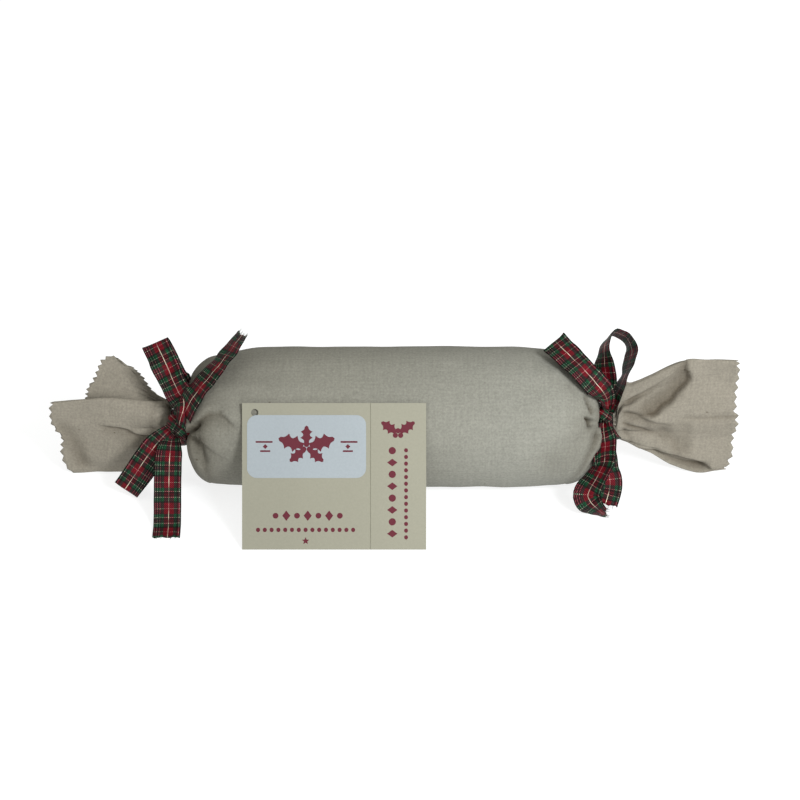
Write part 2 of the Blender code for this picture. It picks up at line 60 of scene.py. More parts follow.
# ---- the roll: x, radius, centre y, centre z ----
ROLL_STATIONS = [
    (-120.5, 7.4, -1.5, 30.5),
    (-116.5, 7.0, -1.5, 30.5),
    (-112.3, 7.6, -1.5, 30.8),
    (-111.4, 14.5, -1.5, 33.6),
    (-109.9, 22.8, -1.4, 35.0),
    (-106.0, 29.2, -1.2, 34.6),
    (-101.0, 33.2, -0.8, 34.5),
    (-92.0, 35.0, -0.5, 34.9),
    (-80.0, 36.6, 0.0, 35.7),
    (-40.0, 37.4, 0.0, 36.0),
    (0.0, 37.6, 0.0, 36.0),
    (40.0, 37.6, 0.0, 36.0),
    (80.0, 36.8, 0.0, 35.5),
    (89.0, 35.9, 0.0, 35.1),
    (96.0, 34.0, -0.2, 34.7),
    (102.0, 30.4, -0.5, 34.7),
    (106.4, 25.0, -0.8, 34.2),
    (108.8, 18.0, -1.0, 34.0),
    (109.7, 9.6, -1.0, 34.0),
    (110.6, 7.2, -1.0, 34.0),
    (114.3, 6.9, -1.0, 34.0),
    (118.4, 7.5, -1.0, 34.0),
]

# ---- the cloth's cut ends, as paths of x, y, z round each frill, from the inner long edge to the outer ----
LEFT_END = [
    (-176.0, 2.5, 36.0), (-176.0, 1.5, 8.0), (-178.0, 4.0, 42.0), (-176.5, 4.5, 4.0), (-176.6, -2.2, 0.6),
    (-180.4, -2.4, 8.0), (-181.6, -2.4, 16.0), (-180.4, -2.6, 23.6), (-184.4, -2.6, 30.4),
    (-185.4, -2.4, 38.0), (-184.6, -1.2, 45.6), (-182.5, 2.0, 44.6), (-176.0, 5.0, 38.0),
    (-171.0, 5.0, 28.0), (-166.5, 3.6, 44.8), (-165.4, 5.0, 50.5), (-162.7, 7.0, 54.6),
    (-160.0, 9.0, 59.5), (-156.4, 12.0, 65.5), (-149.6, 12.2, 66.0), (-147.4, 11.6, 63.6), (-142.0, 11.2, 61.6),
]
LEFT_END_SHARES = [
    0.0, 0.10, 0.225, 0.355, 0.385, 0.415, 0.445, 0.48, 0.51,
    0.54, 0.575, 0.60, 0.64, 0.705, 0.775, 0.82, 0.85, 0.885, 0.93, 0.965, 0.98, 1.0,
]
LEFT_RING_ANGLES = [(0.0, 9.0), (0.225, -60.0), (0.385, -185.0), (0.575, -352.0), (0.705, -400.0), (1.0, -432.0)]
RIGHT_END = [
    (181.0, 5.5, 50.0), (180.0, 5.0, 20.0), (182.0, 7.0, 60.0), (179.5, 6.5, 6.0), (179.6, -1.6, 2.6),
    (182.4, -3.4, 11.0), (182.6, -1.4, 23.0), (184.0, -3.4, 35.0), (182.0, -1.6, 47.0),
    (182.6, 0.4, 59.0), (181.8, 0.0, 71.4), (180.6, 6.0, 68.0), (178.0, 11.0, 40.0), (176.0, 11.0, 14.0),
]
RIGHT_END_SHARES = [0.0, 0.11, 0.25, 0.44, 0.475, 0.515, 0.56, 0.605, 0.65, 0.695, 0.745, 0.78, 0.89, 1.0]
RIGHT_RING_ANGLES = [(0.0, 9.0), (0.25, -50.0), (0.475, -185.0), (0.745, -355.0), (1.0, -425.0)]

OVERLAP_START_ANGLE = 9.0       # the inner long edge lies here, in degrees from the top towards the front
WRAP_ANGLE = 418.0              # how far round the cloth goes; the last 58 degrees lie over the first
TEETH = 50                      # teeth of the pinked edge across the cloth's width
TOOTH_DEPTH = 2.3
FINE_TEETH = (19, 38)           # teeth whose columns are close together, where the frills' folds are
FINE_COLUMNS = 6                # mesh columns of such a tooth, and of any other one
PLAIN_COLUMNS = 2
FRILL_ROWS = 58                 # mesh rows along each frill
CREASE_WIDTH = 0.9              # half width of the painted shade line along grooves and lips
DARK_DEPTH = 4.0                # fold height at which its painted shade is at full strength
LIP_EDGE = 0.8                  # half width of the step at a lip's edge
SPREAD_PLACES = (0.0, 0.05, 0.12, 0.22, 0.35, 0.55, 0.78, 1.0)
LEFT_SPREADS = [                # share of the width, and how far each place from neck to end has spread
    (0.0, (0.0, 0.10, 0.23, 0.39, 0.58, 0.80, 0.95, 1.0)),
    (0.355, (0.0, 0.20, 0.42, 0.62, 0.80, 0.93, 0.99, 1.0)),
    (0.40, (0.0, 0.30, 0.55, 0.78, 0.93, 1.0, 1.0, 1.0)),
    (0.46, (0.0, 0.22, 0.42, 0.62, 0.80, 0.93, 0.99, 1.0)),
    (0.53, (0.0, 0.45, 0.62, 0.76, 0.88, 0.96, 1.0, 1.0)),
    (0.58, (0.0, 0.87, 0.97, 1.05, 1.17, 1.30, 1.20, 1.0)),
    (0.70, (0.0, 0.20, 0.42, 0.62, 0.80, 0.93, 0.99, 1.0)),
    (0.88, (0.0, 0.18, 0.25, 0.34, 0.46, 0.63, 0.85, 1.0)),
    (1.0, (0.0, 0.13, 0.19, 0.27, 0.36, 0.53, 0.82, 1.0)),
]
RIGHT_SPREADS = [
    (0.0, (0.0, 0.10, 0.23, 0.39, 0.58, 0.80, 0.95, 1.0)),
    (0.44, (0.0, 0.12, 0.26, 0.44, 0.64, 0.88, 1.03, 1.0)),
    (0.49, (0.0, 0.10, 0.21, 0.38, 0.60, 0.90, 1.09, 1.0)),
    (0.56, (0.0, 0.14, 0.32, 0.52, 0.72, 0.91, 0.99, 1.0)),
    (0.68, (0.0, 0.28, 0.42, 0.58, 0.76, 0.95, 1.0, 1.0)),
    (0.745, (0.0, 0.51, 0.58, 0.66, 0.79, 1.02, 1.04, 1.0)),
    (0.82, (0.0, 0.30, 0.42, 0.55, 0.72, 0.94, 1.0, 1.0)),
    (1.0, (0.0, 0.12, 0.25, 0.42, 0.60, 0.82, 0.95, 1.0)),
]

# ---- folds as strokes on the leaning front plane: kind, height, width, weight at start and end, (x, up) ----
# A lip stands up on the left of its stroke and drops to its right.
# Each fold also paints shade into the cloth's colour: a dark line along grooves and lips, broader shade below lips and
# in hollows, full at a height of DARK_DEPTH.
BODY_FOLDS = [
    ("lip", 4.0, 3.4, (1.0, 0.5), [(-107.4, -5.5), (-104.5, -3.2), (-100.6, 0.0), (-97.3, 2.1), (-93.6, 2.6),
                                   (-90.3, 1.3), (-87.4, -1.3)]),
    ("ridge", 2.0, 7.0, (1.0, 1.0), [(-100.3, -6.8), (-93.3, -7.9)]),
    ("hollow", 4.0, 2.6, (1.0, 0.4), [(-105.2, -11.5), (-103.8, -17.0), (-101.5, -24.0)]),
    ("groove", 5.4, 1.8, (1.0, 1.0), [(-107.7, -6.8), (-105.6, -6.1), (-104.5, -4.2)]),
    ("lip", 3.4, 2.4, (1.0, 0.25), [(-108.4, -8.1), (-106.5, -10.5), (-103.2, -12.4), (-100.6, -13.7),
                                   (-97.9, -16.2), (-94.5, -18.7)]),
    ("lip", 3.2, 2.6, (0.4, 1.0), [(-101.1, -30.5), (-102.2, -25.5), (-103.0, -18.4), (-103.2, -12.4)]),
    ("ridge", 1.8, 1.5, (1.0, 0.5), [(-107.9, -10.0), (-107.1, -16.3), (-105.8, -22.1), (-103.5, -27.9)]),
    ("ridge", 0.9, 3.6, (1.0, 0.6), [(-93.5, 14.7), (-79.2, 15.3), (-50.3, 16.3)]),
    ("lip", 3.2, 2.4, (1.0, 0.3), [(107.6, -10.0), (106.2, -15.0), (104.2, -20.0), (101.6, -25.0), (98.8, -29.6),
                                   (95.0, -33.4)]),
    ("groove", 2.4, 1.5, (1.0, 0.2), [(107.4, -20.4), (104.0, -25.4), (101.0, -29.4)]),
    ("hollow", 1.5, 10.0, (1.0, 0.7), [(84.0, -25.0), (94.0, -15.0), (101.0, -5.0)]),
    ("groove", 4.2, 1.3, (1.0, 1.0), [(101.5, -0.8), (104.0, -1.8), (105.6, -3.2)]),
    ("groove", 2.4, 1.3, (1.0, 0.3), [(105.6, -3.2), (104.4, -5.8), (103.0, -8.4)]),
    ("groove", 3.8, 1.1, (0.5, 1.0), [(100.2, 11.1), (102.2, 7.1), (105.2, 3.1)]),
    ("hollow", 1.4, 2.2, (1.0, 0.3), [(103.4, -4.7), (99.1, -10.5), (97.0, -15.3)]),
    ("ridge", 1.1, 2.0, (1.0, 0.3), [(99.2, -2.1), (94.5, -6.8), (92.4, -12.1)]),
    ("lip", 1.0, 1.8, (0.4, 1.0), [(82.9, 21.6), (88.7, 18.4), (94.0, 15.3)]),
    ("ridge", 1.1, 3.8, (0.3, 1.0), [(44.5, 22.6), (65.5, 22.6), (84.5, 22.1)]),
]
LEFT_FRILL_FOLDS = [
    ("ridge", 6.4, 6.2, (1.0, 0.12), [(-119.4, 0.5), (-131.6, 1.1), (-143.4, 2.1), (-154.2, 2.7)]),
    ("lip", 5.0, 2.6, (0.5, 0.72), [(-154.7, -4.5), (-148.5, -5.1), (-144.2, -6.4), (-139.8, -8.5), (-134.3, -9.5),
                                   (-127.9, -9.8), (-123.6, -8.3)]),
    ("groove", 0.9, 1.3, (0.4, 1.0), [(-126.1, 9.7), (-129.5, 5.9), (-130.6, 1.4), (-131.1, -2.9), (-130.6, -7.9)]),
    ("groove", 1.8, 0.9, (0.6, 1.0), [(-123.4, 8.0), (-121.7, 3.8), (-120.6, 1.1)]),
    ("groove", 0.6, 0.9, (0.4, 1.0), [(-130.0, -4.6), (-126.3, -2.4), (-122.8, -1.9)]),
    ("groove", 1.1, 0.9, (0.4, 1.0), [(-129.0, -0.8), (-125.0, 0.9), (-122.3, 1.9)]),
    ("ridge", 3.6, 5.4, (0.7, 1.0), [(-166.0, -20.9), (-158.5, -20.9), (-148.8, -17.7), (-141.3, -13.9)]),
    ("hollow", 2.4, 5.0, (0.7, 1.0), [(-178.8, -8.0), (-174.5, -15.6), (-171.3, -24.1)]),
]
LEFT_FLAP_FOLDS = [
    ("hollow", 0.6, 3.6, (0.5, 1.0), [(-163.4, 14.6), (-156.9, 20.5), (-147.7, 24.3), (-142.3, 25.4)]),
]
RIGHT_FRILL_FOLDS = [
    ("lip", 3.6, 2.4, (1.0, 0.2), [(120.4, 7.0), (122.8, 8.7), (129.8, 12.1), (136.1, 15.8), (144.5, 21.1)]),
    ("groove", 2.0, 1.1, (1.0, 0.1), [(122.8, 7.0), (126.5, 8.2), (131.9, 8.4)]),
    ("lip", 4.4, 4.6, (0.8, 1.0), [(156.3, 24.1), (156.8, 19.8), (150.9, 12.9), (148.3, 8.6), (143.4, 5.1),
                                   (140.2, 1.6), (137.0, 0.5)]),
    ("lip", 3.4, 3.2, (1.0, 0.2), [(119.1, 5.9), (121.8, 3.2), (129.2, 1.1), (134.9, -1.1), (141.3, -2.7),
                                   (149.3, -3.8)]),
    ("groove", 1.3, 1.5, (0.5, 1.0), [(155.8, -0.8), (165.8, -1.1), (172.7, -0.5), (182.0, 0.0)]),
    ("groove", 3.0, 1.3, (1.0, 0.3), [(122.8, -3.5), (125.5, -5.1), (132.9, -7.0), (138.6, -8.6), (142.4, -10.2),
                                      (145.6, -13.4)]),
    ("groove", 2.2, 1.3, (1.0, 0.3), [(122.3, -6.4), (125.5, -9.7), (127.1, -12.9)]),
    ("hollow", 2.4, 4.6, (1.0, 1.0), [(152.0, 20.8), (147.6, 13.9), (141.6, 9.0), (135.0, 5.4)]),
    ("hollow", 2.6, 3.0, (1.0, 0.7), [(121.5, 1.5), (128.0, 1.0), (134.0, -3.0)]),
    ("hollow", 3.6, 3.0, (0.7, 1.3), [(140.8, -20.9), (149.3, -24.6), (158.5, -26.8), (167.0, -27.8)]),
    ("hollow", 2.8, 4.0, (0.7, 0.8), [(144.5, -9.0), (151.0, -13.0), (153.0, -17.5)]),
    ("hollow", 1.6, 4.0, (0.5, 1.0), [(154.7, -3.8), (156.3, -10.2), (156.8, -17.2)]),
    ("lip", 3.0, 1.6, (0.5, 1.0), [(133.8, -17.2), (141.3, -18.8), (149.3, -20.9), (160.5, -22.8), (166.8, -25.2),
                                   (171.3, -27.3)]),
]

# ---- the ribbons, as strips of ((x, up, out), direction across) from the knot's centre ----
RIBBON_WIDTH = 14.6
RIBBON_THICKNESS = 0.34
CLEARANCE = 0.55                # least distance from the middle of a ribbon to the cloth
LAYER_GAP = 2.0                 # how much further out the front layer of a closed loop lies
KNOT_OUT = 11.2                 # distance of both knots in front of the leaning plane through the axis
BUNCHED_SHARE = 0.42            # share of its width that the ribbon keeps where it enters a knot
BUNCHED_REACH = 18.0
ACROSS = 13                     # points across a ribbon
LEFT_NECK = (-116.5, -1.5, 30.5)
LEFT_KNOT = (-117.4, 39.0)
LEFT_KNOT_SIZE = (5.8, 8.6, 5.0)
LEFT_KNOT_SHIFT = (3.6, -0.8, 4.4)
LEFT_STRIPS = {
    "upper_loop": [
        ((3.0, 2.0, 1.2), (0.90, 0.20, 0.20)),
        ((5.2, 9.0, 6.4), (0.90, 0.20, 0.20)),
        ((0.4, 20.0, 11.0), (0.88, 0.28, 0.30)),
        ((-4.6, 31.0, 8.8), (0.91, 0.38, 0.14)),
        ((-10.2, 42.0, 4.6), (0.91, 0.41, 0.0)),
        ((-11.0, 43.6, 1.8), (0.91, 0.41, 0.0)),
        ((-9.8, 41.8, -0.8), (0.91, 0.41, 0.0)),
        ((-4.4, 31.3, -1.2), (0.94, 0.34, 0.0)),
        ((0.8, 20.3, 0.0), (0.97, 0.20, 0.0)),
        ((4.8, 9.0, 0.2), (0.97, 0.10, 0.0)),
        ((3.2, 2.0, -0.8), (0.97, 0.10, 0.0)),
    ],
    "upper_tail": [
        ((3.0, -2.0, -1.0), (0.80, -0.30, 0.50)),
        ((5.0, 5.0, 13.0), (0.66, -0.30, 0.66)),
        ((10.6, 14.6, 20.0), (0.62, -0.38, 0.66)),
        ((17.4, 23.2, 20.6), (0.56, -0.38, 0.70)),
        ((25.0, 32.4, 19.0), (0.46, -0.37, 0.80)),
        ((31.2, 40.6, 16.6), (0.42, -0.34, 0.84)),
        ((36.8, 48.4, 16.0), (0.36, -0.29, 0.89)),
    ],
    "lower_loop": [
        ((-1.8, -2.0, 1.6), (-0.70, 0.60, 0.20)),
        ((-7.5, -8.0, 1.6), (-0.80, 0.58, 0.10)),
        ((-15.5, -18.4, -0.4), (-0.84, 0.54, 0.0)),
        ((-22.2, -28.0, -3.6), (-0.85, 0.53, 0.0)),
        ((-26.8, -34.2, -6.8), (-0.85, 0.53, 0.0)),
        ((-27.8, -35.2, -8.8), (-0.85, 0.53, 0.0)),
        ((-26.4, -33.4, -9.8), (-0.85, 0.53, 0.0)),
        ((-20.4, -26.0, -8.2), (-0.84, 0.54, 0.0)),
        ((-13.4, -17.0, -4.6), (-0.82, 0.56, 0.0)),
        ((-5.6, -7.4, -1.6), (-0.80, 0.60, 0.0)),
        ((-0.8, -2.0, -1.4), (-0.70, 0.66, 0.0)),
    ],
    "lower_tail": [
        ((-1.0, 0.0, -2.4), (1.0, 0.10, 0.0)),
        ((-2.4, -6.0, 0.6), (1.0, 0.08, 0.0)),
        ((-3.4, -16.0, 5.4), (1.0, 0.05, 0.0)),
        ((-3.6, -28.0, 8.0), (1.0, 0.02, 0.0)),
        ((-3.6, -40.0, 9.2), (1.0, 0.02, 0.0)),
        ((-3.5, -49.0, 10.8), (1.0, 0.0, 0.0)),
        ((-3.4, -54.5, 13.6), (1.0, 0.0, 0.0)),
        ((-3.3, -59.1, 19.2), (1.0, 0.0, 0.0)),
    ],
}
RIGHT_NECK = (114.3, -1.0, 34.0)
RIGHT_KNOT = (114.0, 44.2)
RIGHT_KNOT_SIZE = (3.6, 5.4, 4.6)
RIGHT_KNOT_SHIFT = (-3.2, -0.8, 1.8)
RIGHT_STRIPS = {
    "upper_loop": [
        ((-0.6, 1.0, 1.2), (0.80, 0.30, 0.10)),
        ((-2.9, 8.6, 9.0), (0.80, 0.46, -0.10)),
        ((-10.0, 16.6, 18.4), (0.76, 0.52, -0.38)),
        ((-15.6, 22.8, 19.6), (0.73, 0.54, -0.42)),
        ((-22.9, 30.2, 16.4), (0.74, 0.58, -0.34)),
        ((-28.6, 36.2, 12.0), (0.75, 0.62, -0.22)),
        ((-29.8, 37.6, 10.0), (0.75, 0.62, -0.20)),
        ((-28.2, 36.0, 8.6), (0.75, 0.62, -0.22)),
        ((-22.0, 30.0, 12.2), (0.74, 0.58, -0.34)),
        ((-14.6, 22.2, 15.6), (0.73, 0.54, -0.42)),
        ((-9.0, 15.4, 14.0), (0.76, 0.52, -0.38)),
        ((-2.2, 7.6, 5.4), (0.80, 0.46, -0.10)),
        ((-0.2, 0.6, -0.8), (0.80, 0.30, 0.10)),
    ],
    "open_loop": [
        ((-1.4, 0.0, -0.6), (0.80, 0.10, 0.60)),
        ((-1.8, 10.0, 2.0), (0.82, 0.05, 0.56)),
        ((-2.4, 21.0, 4.0), (0.76, 0.10, 0.64)),
        ((-2.9, 31.0, 3.6), (0.42, 0.06, 0.90)),
        ((-1.3, 38.6, 1.8), (0.15, 0.10, 0.98)),
        ((3.4, 43.0, -0.4), (0.0, 0.22, 0.97)),
        ((9.6, 40.0, -1.2), (0.24, 0.14, 0.95)),
        ((12.2, 34.2, 0.4), (0.34, -0.06, 0.93)),
        ((10.8, 27.2, 2.4), (0.28, 0.0, 0.95)),
        ((8.2, 19.6, 4.2), (0.20, 0.0, 0.98)),
        ((4.4, 11.0, 4.0), (0.34, 0.10, 0.92)),
        ((1.0, 1.0, 0.4), (0.50, 0.10, 0.85)),
    ],
    "front_tail": [
        ((-2.6, -1.0, -1.6), (0.96, 0.06, 0.20)),
        ((-3.6, -8.0, 2.6), (0.94, 0.06, 0.30)),
        ((-3.0, -17.0, 6.0), (0.88, 0.10, 0.46)),
        ((-3.8, -27.0, 8.0), (0.78, 0.26, 0.54)),
        ((-8.4, -35.6, 9.0), (0.82, 0.40, 0.40)),
        ((-12.4, -42.8, 9.2), (0.84, 0.50, 0.16)),
        ((-11.4, -46.8, 9.0), (0.74, 0.62, 0.22)),
        ((-8.0, -50.4, 8.6), (0.40, 0.50, 0.77)),
        ((-3.4, -53.6, 7.8), (0.21, 0.28, 0.94)),
        ((0.6, -55.8, 7.0), (0.18, 0.24, 0.95)),
    ],
    "back_tail": [
        ((-1.0, -1.0, -2.2), (0.96, 0.0, 0.10)),
        ((-1.8, -9.0, 0.0), (0.90, 0.0, -0.40)),
        ((-2.4, -19.0, 1.8), (0.88, 0.0, -0.46)),
        ((-1.4, -29.0, 2.8), (0.92, 0.04, -0.36)),
        ((-0.2, -38.6, 3.2), (0.98, 0.06, 0.06)),
        ((-2.6, -48.6, 2.6), (0.99, 0.08, 0.0)),
    ],
}
FLOOR_CLEARANCE = 0.35

# ---- the tag ----
TAG_WIDTH = 96.2
TAG_HEIGHT = 76.6
TAG_THICKNESS = 0.8
TAG_CENTRE_X = -32.0
TAG_SLOPE = math.radians(56.0)
TAG_FOLD_FROM_LEFT = 67.0
ROLL_RADIUS = 37.6
TAG_GAP = 0.3
LABEL_SIZE = (62.2, 32.9)
LABEL_MIDDLE = (-14.4, 15.55)
LABEL_CORNER = 5.2


def ease(start, end, value):
    """Rise smoothly from 0 at start to 1 at end; works on numbers and arrays."""
    share = np.clip((value - start) / (end - start), 0.0, 1.0)
    return share * share * (3.0 - 2.0 * share)


def smooth_path(points, shares, wanted):
    """Read a smooth curve through points, whose places along it are shares, at the wanted shares."""
    points = np.array(points, float)
    shares = np.array(shares, float)
    slopes = np.gradient(points, shares, axis=0)
    spans = np.clip(np.searchsorted(shares, wanted, side="right") - 1, 0, len(shares) - 2)
    width = shares[spans + 1] - shares[spans]
    along = np.clip((wanted - shares[spans]) / width, 0.0, 1.0)[:, None]
    start, end = points[spans], points[spans + 1]
    leave, arrive = slopes[spans] * width[:, None], slopes[spans + 1] * width[:, None]
    square, cube = along ** 2, along ** 3
    return ((2 * cube - 3 * square + 1) * start + (cube - 2 * square + along) * leave
            + (3 * square - 2 * cube) * end + (cube - square) * arrive)


def even_path(points, spacing):
    """Points of a smooth curve through the given ones, evenly spaced."""
    points = np.array(points, float)
    fine = smooth_path(points, np.arange(len(points)), np.linspace(0.0, len(points) - 1.0, 24 * len(points)))
    runs = np.concatenate(([0.0], np.cumsum(np.linalg.norm(np.diff(fine, axis=0), axis=1))))
    wanted = np.linspace(0.0, runs[-1], max(2, round(runs[-1] / spacing) + 1))
    return np.column_stack([np.interp(wanted, runs, column) for column in fine.T])


def grid_faces(rows, columns, closed=False):
    """Quads of a grid of rows by columns, joined round if closed."""
    faces = []
    last = columns if closed else columns - 1
    for row in range(rows - 1):
        for column in range(last):
            following = (column + 1) % columns
            start = row * columns
            faces.append((start + column, start + following,
                          start + columns + following, start + columns + column))
    return faces


def new_piece(name, vertices, faces, uvs=None, values=None):
    """Make a mesh object from points in millimetres, with a UV map in metres and point attributes where given."""
    mesh = bpy.data.meshes.new(name)
    mesh.from_pydata([tuple(point) for point in np.asarray(vertices) * MM], [], faces)
    if uvs is not None:
        layer = mesh.uv_layers.new(name="UVMap")
        corners = np.empty(len(mesh.loops), int)
        mesh.loops.foreach_get("vertex_index", corners)
        layer.data.foreach_set("uv", (np.asarray(uvs)[corners] * MM).ravel())
    for key, numbers in (values or {}).items():
        mesh.attributes.new(key, "FLOAT", "POINT").data.foreach_set("value", np.asarray(numbers, np.float32).ravel())
    mesh.update()
    made = bpy.data.objects.new(name, mesh)
    bpy.context.scene.collection.objects.link(made)
    return made


def only(target):
    """Select one object alone and make it the active one."""
    bpy.ops.object.select_all(action="DESELECT")
    target.select_set(True)
    bpy.context.view_layer.objects.active = target


def apply_modifiers(target):
    only(target)
    for modifier in list(target.modifiers):
        bpy.ops.object.modifier_apply(modifier=modifier.name)


def thicken(target, thickness, offset):
    """Give a sheet its real thickness."""
    shell = target.modifiers.new("thickness", "SOLIDIFY")
    shell.thickness = thickness * MM
    shell.offset = offset
    shell.use_even_offset = False
    apply_modifiers(target)


def finish_piece(piece, material, node):
    """Give a finished piece its material, hide the model part it replaces, and hang it on the body it moves with."""
    piece.data.materials.clear()
    piece.data.materials.append(material)
    if node:
        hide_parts(node)
    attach(piece, "root")


# ---------------------------------------------------------------- the cloth


def cloth_columns():
    """Places of the mesh columns across the cloth's width, and the pinked edge's height at each."""
    shares, teeth = [], []
    for tooth in range(TEETH):
        count = FINE_COLUMNS if FINE_TEETH[0] <= tooth < FINE_TEETH[1] else PLAIN_COLUMNS
        for step in range(count):
            shares.append((tooth + step / count) / TEETH)
            uneven = 0.8 + 0.25 * math.sin(2.1 * tooth) + 0.15 * math.sin(5.3 * tooth)
            teeth.append(1.0 - uneven * (1.0 - abs(2.0 * step / count - 1.0)))
    return np.array(shares + [1.0]), np.array(teeth + [1.0])


def neck_pleats(shares):
    """Irregular pleats across the cloth's width, from -1 in the valleys to 1 on the ridges."""
    phase = 15.0 * shares + 0.35 * np.sin(math.tau * 2.3 * shares + 0.7) + 0.26 * np.sin(math.tau * 5.1 * shares + 2.1)
    wave = 1.0 - 2.0 * (1.0 - np.abs(np.sin(math.pi * phase))) ** 1.6
    return wave * (0.78 + 0.22 * np.sin(math.tau * 3.3 * shares + 1.0))


def roll_rows(shares):
    """Rows of points of the cloth from the left neck over the roll to the right neck."""
    stations = np.array(ROLL_STATIONS)
    runs = np.concatenate(([0.0], np.cumsum(np.hypot(np.diff(stations[:, 0]), np.diff(stations[:, 1])))))
    wanted = [0.0]
    while wanted[-1] < runs[-1] - 0.6:
        x = np.interp(wanted[-1], runs, stations[:, 0])
        wanted.append(wanted[-1] + (3.2 if -84.0 < x < 78.0 else 1.1))
    wanted[-1] = runs[-1]
    profile = smooth_path(stations, runs, np.array(wanted))
    angles = np.radians(OVERLAP_START_ANGLE - WRAP_ANGLE * shares)
    layer = 0.5 * (ease(0.83, 0.875, shares) - (1.0 - ease(0.10, 0.145, shares)))
    pleats = neck_pleats(shares)
    rows = []
    for x, radius, centre_y, centre_z in profile:
        near = max(math.exp(-max(0.0, x + 112.0) / 7.0), math.exp(-max(0.0, 110.0 - x) / 7.0))
        reach = radius + layer * (1.0 - near) + 1.2 * near * pleats
        rows.append(np.column_stack((np.full_like(reach, x), centre_y - reach * np.sin(angles),
                                     centre_z + reach * np.cos(angles))))
    return rows, np.array(wanted)


def frill_rows(shares, neck, ring_pairs, end_points, end_shares, spreads):
    """Rows of one frill from its neck ring out to the cloth's cut end."""
    x, radius, centre_y, centre_z = neck
    places, angles = zip(*ring_pairs)
    angles = np.radians(np.interp(shares, places, angles))
    pleats = neck_pleats(shares)
    ring = radius + 1.2 * pleats + 0.7 * (ease(0.6, 0.8, shares) - 0.5)
    start = np.column_stack((np.full_like(angles, x), centre_y - ring * np.sin(angles),
                             centre_z + ring * np.cos(angles)))
    end = smooth_path(end_points, end_shares, shares)
    keys, tables = zip(*spreads)
    steps = np.arange(1, FRILL_ROWS + 1) / FRILL_ROWS
    curves = smooth_path(np.array(tables).T, SPREAD_PLACES, steps)
    rows = []
    for share, curve in zip(steps, curves):
        spread = np.interp(shares, keys, curve)[:, None]
        row = start + (end - start) * np.hstack((np.full_like(spread, share), spread, spread))
        fade = 1.6 * math.exp(-share * 4.0) * (1.0 - share)
        row[:, 1] -= np.sin(angles) * pleats * fade
        row[:, 2] += np.cos(angles) * pleats * fade
        rows.append(row)
    return rows


def pinked(points, teeth, along):
    """Cut the zigzag along both frill ends and both long edges."""
    for end, inner in ((0, 1), (-1, -2)):
        outward = points[end] - points[inner]
        outward = outward / np.linalg.norm(outward, axis=1)[:, None]
        points[end] = points[end] + outward * ((teeth - 0.5) * TOOTH_DEPTH)[:, None]
    wave = np.abs(2.0 * ((along / 5.4) % 1.0) - 1.0)
    for edge, inner in ((0, 1), (-1, -2)):
        outward = points[:, edge] - points[:, inner]
        outward = outward / np.linalg.norm(outward, axis=1)[:, None]
        points[:, edge] = points[:, edge] + outward * ((wave - 0.5) * TOOTH_DEPTH)[:, None]
    return points


def cloth_normals(points):
    """Outward normals of the grid of cloth points."""
    normals = np.cross(np.gradient(points, axis=0), np.gradient(points, axis=1))
    return normals / np.maximum(np.linalg.norm(normals, axis=2), 1e-9)[:, :, None]


def stroke_field(flat, stroke):
    """Distance of each flat point from a stroke, the side it is on, and its place along the stroke."""
    path = even_path(stroke, 1.5)
    runs = np.linalg.norm(np.diff(path, axis=0), axis=1)
    nearest = np.full(flat.shape[:2], 1e9)
    side, place = np.zeros(flat.shape[:2]), np.zeros(flat.shape[:2])
    done = 0.0
    for start, end, run in zip(path, path[1:], runs):
        along = (end - start) / run
        offset = flat - start
        reach = np.clip(offset @ along, 0.0, run)
        distance = np.linalg.norm(offset - reach[:, :, None] * along, axis=2)
        closer = distance < nearest
        nearest = np.where(closer, distance, nearest)
        side = np.where(closer, np.sign(along[0] * offset[:, :, 1] - along[1] * offset[:, :, 0]), side)
        place = np.where(closer, (done + reach) / runs.sum(), place)
        done += run
    return nearest, side, place


def fold_heights(points, folds):
    """Height added to each cloth point by a list of folds, and the painted shade that they add to its colour."""
    flat = np.stack((points[:, :, 0], (points - (0.0, 0.0, AXIS_HEIGHT)) @ UP), axis=2)
    total, painted_shade = np.zeros(points.shape[:2]), np.zeros(points.shape[:2])
    for kind, height, width, (weight_start, weight_end), stroke in folds:
        distance, side, place = stroke_field(flat, stroke)
        weight = weight_start + (weight_end - weight_start) * place
        high = ease(-LIP_EDGE, LIP_EDGE, side * distance)
        if kind == "lip":
            shape = (high * 0.55 * np.exp(-(distance / (2.0 * width)) ** 1.5)
                     - (1.0 - high) * 0.45 * np.exp(-distance / width))
        elif kind == "groove":
            shape = -np.exp(-distance / width)
        else:
            shape = np.exp(-(distance / width) ** 2) * (1.0 if kind == "ridge" else -1.0)
        total += height * weight * shape
        # painted shade: a dark line along grooves and lips, broader shade on the low side of lips and in hollows;
        # ridges paint none
        line = np.exp(-(distance / CREASE_WIDTH) ** 2)
        if kind == "lip":
            dark = high * 0.2 * line + (1.0 - high) * (0.4 * line + 0.6 * np.exp(-(distance / (1.8 * width)) ** 2))
        elif kind == "groove":
            dark = 0.8 * line + 0.25 * np.exp(-(distance / (2.0 * width)) ** 2)
        else:
            dark = 0.6 * np.exp(-(distance / width) ** 2) * (kind == "hollow")
        painted_shade = np.maximum(painted_shade, min(1.0, height / DARK_DEPTH) * weight * dark)
    return total, painted_shade


def unevenness(points, size, seed):
    """Broad, soft unevenness over the cloth, from -1 to 1."""
    offset = Vector((seed, 0.7 * seed, -1.3 * seed))
    return np.array([[noise.noise(Vector(point) / size + offset) for point in row] for row in points])


